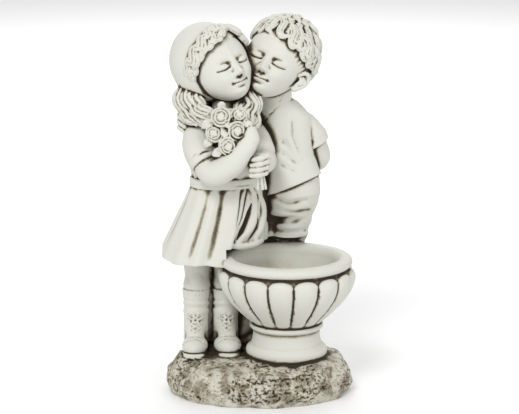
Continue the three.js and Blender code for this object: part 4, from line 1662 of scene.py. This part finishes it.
    def limbs(self, casting: Casting) -> None:
        """Neck, arms, hands, legs and boots.

        Args:
            casting: the casting.
        """
        canon = self.canon
        left = [[162, 158, 606], [174, 180, 562], [160, 206, 544], [110, 226, 560], [76, 226, 578]]
        right = [[10, 150, 690], [-70, 168, 668], [-150, 142, 668], [-205, 96, 690]]
        hidden = finger_set(canon, [48, 234, 586], [14, 236, 588], [0, 0, 40], [0, 5, 0], 7.5)
        shown = finger_set(canon, [-222, 72, 704], [-216, 14, 688], [0, 0, 54], [-14, -6, 4], 8.4)
        casting.add(Region.SKIN, Joint.SOFT, canon.limb([[50, 122, 716], [50, 104, 800]], [46, 44]))
        casting.add(Region.SKIN, Joint.CRISP, canon.limb(left, [37, 37, 33, 28, 24], sides=60, steps=70))
        casting.add(Region.SKIN, Joint.SOFT, canon.egg([62, 224, 584], [30, 16, 24], 4))
        casting.add(Region.SKIN, Joint.CRISP, *hidden)
        casting.add(Region.CLOTH, Joint.CARVED, canon.limb(right, [44, 40, 34, 27], sides=60))
        casting.add(Region.SKIN, Joint.SOFT, canon.egg([-210, 78, 698], [18, 26, 30], -20))
        casting.add(Region.SKIN, Joint.CRISP, *shown)
        for points in ([[86, 152, 330], [84, 162, 24]], [[0, 160, 330], [-6, 166, 24]]):
            casting.add(Region.SKIN, Joint.CARVED, canon.limb(points, [39, 35, 40, 38, 33, 32], steps=60))
        for x, y, turn in ((90, 136, 8), (-12, 134, -10)):
            casting.add(Region.BOOTS, Joint.CARVED, canon.egg([x, y, 24], [38, 66, 30], turn))
            casting.add(Region.BOOTS, Joint.CRISP, canon.egg([x, y + 4, 6], [40, 68, 12], turn))

    def carve(self, casting: Casting) -> None:
        """Puts the boy into the casting.

        Args:
            casting: the casting.
        """
        self.clothes(casting)
        self.limbs(casting)
        casting.add(Region.SKIN, Joint.CRISP, self.head.skull())
        casting.add(Region.HAIR, Joint.CRISP, self.head.hair_mass(), *self.sweeps(), *self.fringe())
        self.ear(casting)

    def finish(self, chisel: Chisel) -> None:
        """Cuts the neckline, seams and creases into his clothes.

        Args:
            chisel: what lays lines on the casting.
        """
        chisel.score(at_depth(73, (71, 765), (60, 745), (40, 716), (18, 690), (-1, 664)), 1.5, 1.0)
        welt = at_depth(73, (66, 752), (46, 730), (28, 716), (12, 710))
        chisel.raise_line(welt, Region.CLOTH, 1.8, 0.9)
        drag = at_depth(83, (94, 706), (96, 680), (98, 640), (112, 600), (131, 566))
        for width, depth, joint, toward, path in (
            (1.2, 0.8, Joint.CRISP, VIEWED, at_depth(73, (70, 745), (50, 722), (30, 706), (12, 701))),
            (1.6, 1.3, Joint.CRISP, VIEWED, at_depth(110, (112, 738), (121, 733), (126, 722))),
            (5.5, 2.0, Joint.SOFT, VIEWED, drag),
            (8.0, 2.0, Joint.SOFT, VIEWED, at_depth(73, (56, 632), (78, 612), (106, 582))),
            (8.0, 2.0, Joint.SOFT, VIEWED, at_depth(73, (52, 596), (86, 576), (120, 550))),
            (8.0, 2.0, Joint.SOFT, VIEWED, at_depth(73, (50, 560), (82, 546), (118, 534))),
            (7.0, 2.2, Joint.SOFT, VIEWED, at_depth(83, (36, 456), (84, 434), (140, 446))),
            (7.0, 2.2, Joint.SOFT, VIEWED, at_depth(83, (50, 416), (98, 405), (150, 416))),
            (7.0, 2.2, Joint.SOFT, VIEWED, at_depth(83, (26, 392), (84, 376), (140, 388))),
            (7.0, 2.2, Joint.SOFT, VIEWED, at_depth(83, (34, 356), (90, 347), (142, 355))),
            (8.0, 1.8, Joint.SOFT, FROM_BEHIND, at_depth(204, (126, 660), (104, 620), (96, 570))),
            (8.0, 1.8, Joint.SOFT, FROM_BEHIND, at_depth(204, (20, 560), (60, 530), (110, 520))),
            (1.6, 1.2, Joint.CRISP, VIEWED, at_depth(83, (30, 336), (70, 330), (110, 331), (140, 338))),
        ):
            chisel.score(path, width, depth, joint, toward)


@dataclass(frozen=True)
class Web:
    """The web of stone that the mould leaves between the legs."""

    canon: Canon

    def carve(self, casting: Casting) -> None:
        """Puts the web into the casting: a flat trunk with the uneven ledges of split rock.

        Args:
            casting: the casting.
        """
        web = self.canon.trunk(
            [
                [330, -62, 112, 86, 22],
                [280, -56, 112, 104, 25],
                [150, -48, 112, 104, 27],
                [30, -44, 112, 122, 32],
                [-12, -44, 112, 122, 32],
            ],
            fold=lambda bearing, rise: (
                0.07 * np.sin(rise * 31 + 2 * np.sin(bearing * 3) + 1.5 * np.sin(bearing * 7 + rise * 9))
                + 0.05 * np.sin(rise * 67 + 5 * np.sin(bearing * 2 + 1)) * np.sin(bearing * 9 + rise * 12)
            ),
        )
        casting.add(Region.WEB, Joint.CARVED, web)


Number = "Value | float"


@dataclass(frozen=True)
class Value:
    """A number in a material, whose arithmetic adds Math nodes."""

    graph: "Graph"
    socket: bpy.types.NodeSocket

    def math(self, operation: str, *others: Number) -> "Value":
        """Adds a Math node on this value and others."""
        node = self.graph.node("ShaderNodeMath", {"operation": operation}, dict(enumerate((self, *others))))
        return Value(self.graph, node.outputs[0])

    def __add__(self, other: Number) -> "Value":
        """The sum."""
        return self.math("ADD", other)

    __radd__ = __add__

    def __mul__(self, other: Number) -> "Value":
        """The product."""
        return self.math("MULTIPLY", other)

    __rmul__ = __mul__

    def __sub__(self, other: Number) -> "Value":
        """The difference."""
        return self.math("SUBTRACT", other)

    def __rsub__(self, other: Number) -> "Value":
        """The difference, the other way round."""
        return (self * -1.0) + other

    def step(self, low: float, high: float) -> "Value":
        """Rises smoothly from 0 at low to 1 at high.

        Args:
            low: where it is 0.
            high: where it is 1.

        Returns:
            The eased value.
        """
        settings = {"interpolation_type": "SMOOTHSTEP"}
        sockets = {"Value": self, "From Min": low, "From Max": high}
        return Value(self.graph, self.graph.node("ShaderNodeMapRange", settings, sockets).outputs["Result"])


class Graph:
    """The node tree of one material."""

    def __init__(self, name: str) -> None:
        """Starts a material with nothing but its output.

        Args:
            name: the material's name.
        """
        self.material = bpy.data.materials.new(name)
        self.material.use_nodes = True
        self.tree = self.material.node_tree
        self.tree.nodes.clear()
        self.place = self.node("ShaderNodeTexCoord", {}, {}).outputs["Object"]

    def node(self, kind: str, settings: dict, sockets: dict) -> bpy.types.Node:
        """Adds a node.

        Args:
            kind: the node's type.
            settings: its properties, set first.
            sockets: a value or a link for each input, by name or number.

        Returns:
            The node.
        """
        made = self.tree.nodes.new(kind)
        for key, value in settings.items():
            setattr(made, key, value)
        for key, value in sockets.items():
            source = value.socket if isinstance(value, Value) else value
            if isinstance(source, bpy.types.NodeSocket):
                self.tree.links.new(source, made.inputs[key])
            else:
                made.inputs[key].default_value = source
        return made

    def attribute(self, name: str) -> Value:
        """A number stored on the mesh."""
        return Value(self, self.node("ShaderNodeAttribute", {"attribute_name": name}, {}).outputs["Fac"])

    def noise(self, scale: float, detail: float = 4.0, roughness: float = 0.55) -> Value:
        """Noise over the piece's own place."""
        sockets = {"Vector": self.place, "Scale": scale, "Detail": detail, "Roughness": roughness}
        return Value(self, self.node("ShaderNodeTexNoise", {}, sockets).outputs[0])

    def mix(self, share: Value, low: object, high: object) -> bpy.types.NodeSocket:
        """Blends two colours."""
        return self.node("ShaderNodeMix", {"data_type": "RGBA"}, {0: share, 6: low, 7: high}).outputs[2]


@dataclass(frozen=True)
class StainedAndShadedStone:
    """Ivory cast stone with a dark brown stain wiped into its hollows, and shade painted into its broad
    recesses.
    """

    stone: tuple = (0.68, 0.682, 0.62, 1.0)
    # The warm, film and dark colours stand for the brown stain and also for painted shade in the recesses.
    warm_tint_and_shade: tuple = (0.54, 0.52, 0.43, 1.0)
    film_and_shade: tuple = (0.22, 0.185, 0.125, 1.0)
    stain_and_shade: tuple = (0.04, 0.028, 0.017, 1.0)
    roughness: float = 0.8

    def material(self) -> bpy.types.Material:
        """The stone's colours follow the masks on the mesh, which hold the stain and painted shade, broken up
        by noise; its grain is a bump.
        """
        graph = Graph(SLOT)
        crevice = graph.attribute("crevice")
        patina_and_painted_shade = graph.attribute("patina_and_painted_shade")
        rock = graph.attribute("rock")
        cloud = graph.noise(42.0, 3.0)
        grain = graph.noise(230.0, 4.0, 0.65)
        specks = graph.noise(620.0, 2.0, 0.5)
        # The broad mask adds painted shade in enclosed recesses to the wiped-in stain.
        wiped_and_shaded = crevice * (cloud * 0.7 + 0.72) + patina_and_painted_shade * (cloud * 1.1 + 0.3)
        total = wiped_and_shaded + (grain - 0.5) * (wiped_and_shaded.step(0.05, 0.5) * 0.55 + 0.06)
        spots = grain.step(0.52, 0.68) * rock * (cloud * 0.8 + 0.1) * 0.8
        patches = cloud.step(0.46, 0.62) * rock * 0.22
        total = total + spots + patches
        # Deeper totals turn the stone warm, then filmed, then dark: stain, and painted shade where the
        # recesses are deep.
        tinted = graph.mix(total.step(0.02, 0.3), self.stone, self.warm_tint_and_shade)
        filmed_and_shaded = graph.mix(total.step(0.14, 0.62), tinted, self.film_and_shade)
        colour = graph.mix(total.step(0.5, 1.15), filmed_and_shaded, self.stain_and_shade)
        height = specks * 0.35 + grain * (rock * 1.6 + 0.5)
        bumps = {"Strength": 0.35, "Distance": 0.0009, "Height": height}
        sockets = {
            "Base Color": colour,
            "Roughness": self.roughness,
            "Specular IOR Level": 0.35,
            "Normal": graph.node("ShaderNodeBump", {}, bumps).outputs[0],
        }
        skin = graph.node("ShaderNodeBsdfPrincipled", {}, sockets)
        graph.node("ShaderNodeOutputMaterial", {}, {"Surface": skin.outputs[0]})
        return graph.material


@dataclass(frozen=True)
class PatinaAndShade:
    """Where the stain stays and where shade is painted into recesses: numbers at each vertex, from how
    enclosed by stone it is at four scales.

    A scale is the voxels to a block, the passes of the blur, and where the mask begins and is full.
    """

    fine: tuple = (1, 4, 0.015, 0.13)
    small: tuple = (2, 6, 0.015, 0.13)
    middle: tuple = (4, 6, 0.01, 0.13)
    wide: tuple = (8, 6, 0.02, 0.22)
    # Per region: the share of the fine crevice stain, of the broad mask of stain and painted shade, and a
    # base stain.
    bias: dict = field(
        default_factory=lambda: {
            Region.ROCK: (0.65, 0.8, 0.26),
            Region.BOWL: (0.72, 1.25, 0.0),
            Region.CLOTH: (0.65, 1.3, 0.0),
            Region.SKIN: (0.75, 0.75, 0.0),
            Region.HAIR: (0.85, 0.85, 0.04),
            Region.FLOWERS: (0.95, 0.85, 0.05),
            Region.BOOTS: (0.9, 1.3, 0.02),
            Region.BOWL_INSIDE: (0.5, 0.2, 0.0),
            Region.WEB: (1.0, 1.1, 0.1),
        }
    )

    def masks(self, casting: Casting, fields: list[Array], points: Array) -> dict[str, Array]:
        """Works the masks out at the points, given in millimetres.

        Args:
            casting: the casting.
            fields: how full the casting is, at each scale.
            points: places, in millimetres.

        Returns:
            The masks, by name.
        """
        fine, small, middle, wide = (
            smoothstep(casting.sample(lattice, points, scale[0]) - 0.5, *scale[2:])
            for lattice, scale in zip(fields, self.scales)
        )
        region = casting.region[casting.cells(points)]
        table = np.array([self.bias[Region(i)] for i in range(len(Region))])
        sharp, broad, base = table[region].T
        return {
            "crevice": (0.55 * fine + 0.35 * small) * sharp,
            # The broad mask is stain and painted shade: the more enclosed a spot, the darker.
            "patina_and_painted_shade": (0.35 * small + 0.6 * middle + 0.68 * wide) * broad + base,
            "rock": (region == Region.ROCK).astype(float),
        }

    @property
    def scales(self) -> tuple:
        """The four scales, finest first."""
        return (self.fine, self.small, self.middle, self.wide)


@dataclass(frozen=True)
class Statue:
    """The whole casting."""

    canon: Canon = Canon()
    rock: Rock = Rock()
    bowl: Bowl = Bowl()
    patina_and_shade_masks: PatinaAndShade = PatinaAndShade()
    # The stone's colours, with its stain and painted shade.
    finish: StainedAndShadedStone = StainedAndShadedStone()
    voxel: float = 1.0
    triangles: int = 196000
    hold: float = 0.05
    stain_and_shade_relief: float = 0.5
    grain_relief: float = 0.06
    grain_size: float = 1.3
    settle_passes: int = 4
    settle_share: float = 0.9
    hold_levels: int = 12
    hold_least: float = 0.05
    slope_reach: float = 0.8

    def cast(self) -> Casting:
        """Carves every form in the field, in the order in which the solids are joined and cut."""
        low, high = (np.array(corner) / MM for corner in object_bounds())
        casting = Casting(low, high, self.voxel)
        girl = Girl(self.canon, Head(self.canon, (-119, 22, 860), 226, 34, -20, -8))
        boy_head = Head(self.canon, (47, 86, 864), 234, -18, 22, -12, mass_middle=(0.04, 0.085, 0.127))
        boy = Boy(self.canon, boy_head)
        Web(self.canon).carve(casting)
        girl.carve(casting)
        Bouquet(self.canon).carve(casting)
        boy.carve(casting)
        casting.cut(self.bowl.room())
        self.bowl.carve(casting)
        casting.add(Region.ROCK, Joint.CARVED, self.rock.surface())
        chisel = Chisel(casting, self.canon)
        girl.finish(chisel)
        boy.finish(chisel)
        casting.keep_within(low, high)
        log.info("casting: %d forms in %s voxels", casting.forms, casting.shape)
        return casting

    def outer_shell(self, mesh: bpy.types.Mesh) -> None:
        """Keeps the largest shell: each point's label falls to the lowest that its edges lead to.

        Args:
            mesh: the mesh, which loses the rest.
        """
        ends = np.empty(len(mesh.edges) * 2, dtype=np.int32)
        mesh.edges.foreach_get("vertices", ends)
        ends = ends.reshape(-1, 2)
        labels = np.arange(len(mesh.vertices))
        while True:
            lowest = np.minimum(labels[ends[:, 0]], labels[ends[:, 1]])
            updated = labels.copy()
            np.minimum.at(updated, ends[:, 0], lowest)
            np.minimum.at(updated, ends[:, 1], lowest)
            updated = updated[updated]
            if np.array_equal(updated, labels):
                break
            labels = updated
        names, counts = np.unique(labels, return_counts=True)
        stray = np.nonzero(labels != names[np.argmax(counts)])[0]
        shell = bmesh.new()
        shell.from_mesh(mesh)
        shell.verts.ensure_lookup_table()
        bmesh.ops.delete(shell, geom=[shell.verts[i] for i in stray], context="VERTS")
        shell.to_mesh(mesh)
        shell.free()

    def thinned(self, points: Array, quads: Array, detail: Array) -> bpy.types.Mesh:
        """Draws the skin as a mesh, in millimetres, and thins it to the number of triangles wanted.

        Args:
            points: the skin's points.
            quads: the skin's quads.
            detail: how much each point's neighbourhood matters, from 0 to 1.

        Returns:
            The thinned mesh.
        """
        mesh = bpy.data.meshes.new("skin")
        mesh.vertices.add(len(points))
        mesh.vertices.foreach_set("co", points.astype(np.float32).ravel())
        mesh.loops.add(quads.size)
        mesh.loops.foreach_set("vertex_index", quads.astype(np.int32).ravel())
        mesh.polygons.add(len(quads))
        mesh.polygons.foreach_set("loop_start", np.arange(0, quads.size, 4, dtype=np.int32))
        mesh.update(calc_edges=True)
        rough = stand("skin", mesh)
        group = rough.vertex_groups.new(name="free")
        levels = self.hold_levels
        free = np.rint((1.0 - 0.95 * np.clip(detail, 0, 1)) * levels).astype(int)
        for level in range(levels + 1):
            members = np.nonzero(free == level)[0]
            if len(members):
                group.add(members.tolist(), max(level / levels, self.hold_least), "REPLACE")
        decimate = rough.modifiers.new("thin", "DECIMATE")
        decimate.ratio = self.triangles / (2 * len(quads))
        decimate.vertex_group = group.name
        decimate.vertex_group_factor = self.hold
        graph = bpy.context.evaluated_depsgraph_get()
        thin = bpy.data.meshes.new_from_object(rough.evaluated_get(graph))
        bpy.data.objects.remove(rough)
        return thin

    def build(self) -> bpy.types.Object:
        """Casts the statue, draws its skin and dresses it.

        The skin is thinned with the stain and painted shade and a faint grain raised on it, so that the
        thinning keeps the edges of the stain and painted shade and leaves no long slivers, and then drawn
        back onto the casting.
        """
        casting = self.cast()
        fields = [casting.fullness(scale[0], scale[1]) for scale in self.patina_and_shade_masks.scales]
        points, quads = casting.skin()
        masks = self.patina_and_shade_masks.masks(casting, fields, points)
        # The stain mask with the painted shade, which is raised on the skin while it is thinned.
        stain_and_shade = np.minimum(masks["crevice"] + masks["patina_and_painted_shade"], 1.2)
        raised = self.stain_and_shade_relief * stain_and_shade + self.grain_relief * value_noise(points, self.grain_size, 77)
        edge_of_stain_and_shade = smoothstep(stain_and_shade, 0.01, 0.1) * (1 - 0.6 * masks["rock"])
        mesh = self.thinned(points + self.normals(casting, points) * raised[:, None], quads, edge_of_stain_and_shade)
        self.outer_shell(mesh)
        mesh.name = "statue_cast"
        places = np.empty(len(mesh.vertices) * 3, dtype=np.float32)
        mesh.vertices.foreach_get("co", places)
        places = places.reshape(-1, 3).astype(float)
        for _ in range(self.settle_passes):
            depth = casting.sample(casting.depth, places)
            places -= self.normals(casting, places) * depth[:, None] * self.settle_share
        mesh.vertices.foreach_set("co", (places * MM).astype(np.float32).ravel())
        mesh.update()
        # Stores the masks of stain and painted shade on the mesh.
        for name, values in self.patina_and_shade_masks.masks(casting, fields, places).items():
            layer = mesh.attributes.new(name, "FLOAT", "POINT")
            layer.data.foreach_set("value", values.astype(np.float32))
        mesh.shade_smooth()
        mesh.normals_split_custom_set_from_vertices(self.normals(casting, places))
        statue = stand("statue_cast", mesh)
        mesh.materials.clear()
        mesh.materials.append(self.finish.material())
        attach(statue, "root")
        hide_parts(NODE)
        log.info("%s: %d vertices, %d faces", statue.name, len(mesh.vertices), len(mesh.polygons))
        return statue

    def normals(self, casting: Casting, places: Array) -> Array:
        """Normals at places: the slope of the distance, from differences over a step each way.

        Args:
            casting: the casting.
            places: places, in millimetres.

        Returns:
            A unit vector for each place.
        """
        read = lambda shift: casting.sample(casting.depth, places + shift)
        steps = np.eye(3) * self.slope_reach
        return unit_rows(np.stack([read(step) - read(-step) for step in steps], -1))


@dataclass(frozen=True)
class Studio:
    """The pale floor, the soft lights and the camera of the photograph's angle."""

    distance: float = 3.5
    elevation: float = 12.0
    target: tuple = (0.0, 0.0, 0.294)
    lens: float = 153.3
    sensor: float = 36.0
    floor_reach: float = 6.0
    world_light: float = 0.6

    def floor(self) -> None:
        """A wide pale floor."""
        mesh = bpy.data.meshes.new("floor")
        reach = self.floor_reach
        edges = [(-reach, -reach, 0), (reach, -reach, 0), (reach, reach, 0), (-reach, reach, 0)]
        mesh.from_pydata(edges, [], [(0, 1, 2, 3)])
        floor = stand("floor", mesh)
        graph = Graph("floor_paint")
        sockets = {"Base Color": (0.95, 0.95, 0.95, 1.0), "Roughness": 0.9}
        paint = graph.node("ShaderNodeBsdfPrincipled", {}, sockets)
        graph.node("ShaderNodeOutputMaterial", {}, {"Surface": paint.outputs[0]})
        mesh.materials.append(graph.material)
        floor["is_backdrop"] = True

    def light(self, name: str, place: Point, size: float, power: float, aim: Point | None = None) -> None:
        """A square lamp that looks at the statue's middle, or at the place it is aimed at.

        Args:
            name: its name.
            place: where it hangs, in metres.
            size: its side, in metres.
            power: watts.
            aim: what it looks at.
        """
        lamp = bpy.data.lights.new(name, "AREA")
        lamp.size = size
        lamp.energy = power
        thing = stand(name, lamp)
        thing.location = place
        look = Vector(aim or self.target) - thing.location
        thing.rotation_euler = look.to_track_quat("-Z", "Y").to_euler()

    def lights(self) -> None:
        """A key from the upper left, a soft fill from the right and the front, and an even white world."""
        self.light("key", (-0.9, -2.6, 2.9), 1.2, 62.0)
        self.light("fill", (2.2, -2.2, 1.4), 2.0, 14.0)
        self.light("sweep", (0.0, 3.0, 2.4), 2.4, 60.0, (0.0, 2.6, 0.0))
        world = bpy.data.worlds.new("studio")
        world.use_nodes = True
        bpy.context.scene.view_settings.view_transform = "Standard"
        backdrop = world.node_tree.nodes["Background"]
        backdrop.inputs["Color"].default_value = (1.0, 1.0, 1.0, 1.0)
        backdrop.inputs["Strength"].default_value = self.world_light
        bpy.context.scene.world = world

    def camera(self) -> None:
        """The camera: in front, raised by its elevation, looking at the target."""
        lens = bpy.data.cameras.new("camera")
        lens.lens = self.lens
        lens.sensor_width = self.sensor
        lens.clip_start = 0.1
        lens.clip_end = 50.0
        camera = stand("camera", lens)
        rise = math.radians(self.elevation)
        back = Vector((0.0, -math.cos(rise), math.sin(rise)))
        camera.location = Vector(self.target) + back * self.distance
        camera.rotation_euler = (-back).to_track_quat("-Z", "Y").to_euler()
        bpy.context.scene.camera = camera

    def set_up(self) -> None:
        """Puts everything round the statue."""
        self.floor()
        self.lights()
        self.camera()


def main() -> None:
    """Builds the statue and its studio."""
    logging.basicConfig(level=logging.INFO, format="%(name)s: %(message)s")
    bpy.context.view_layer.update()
    Statue().build()
    Studio().set_up()


if __name__ == "__main__":
    main()
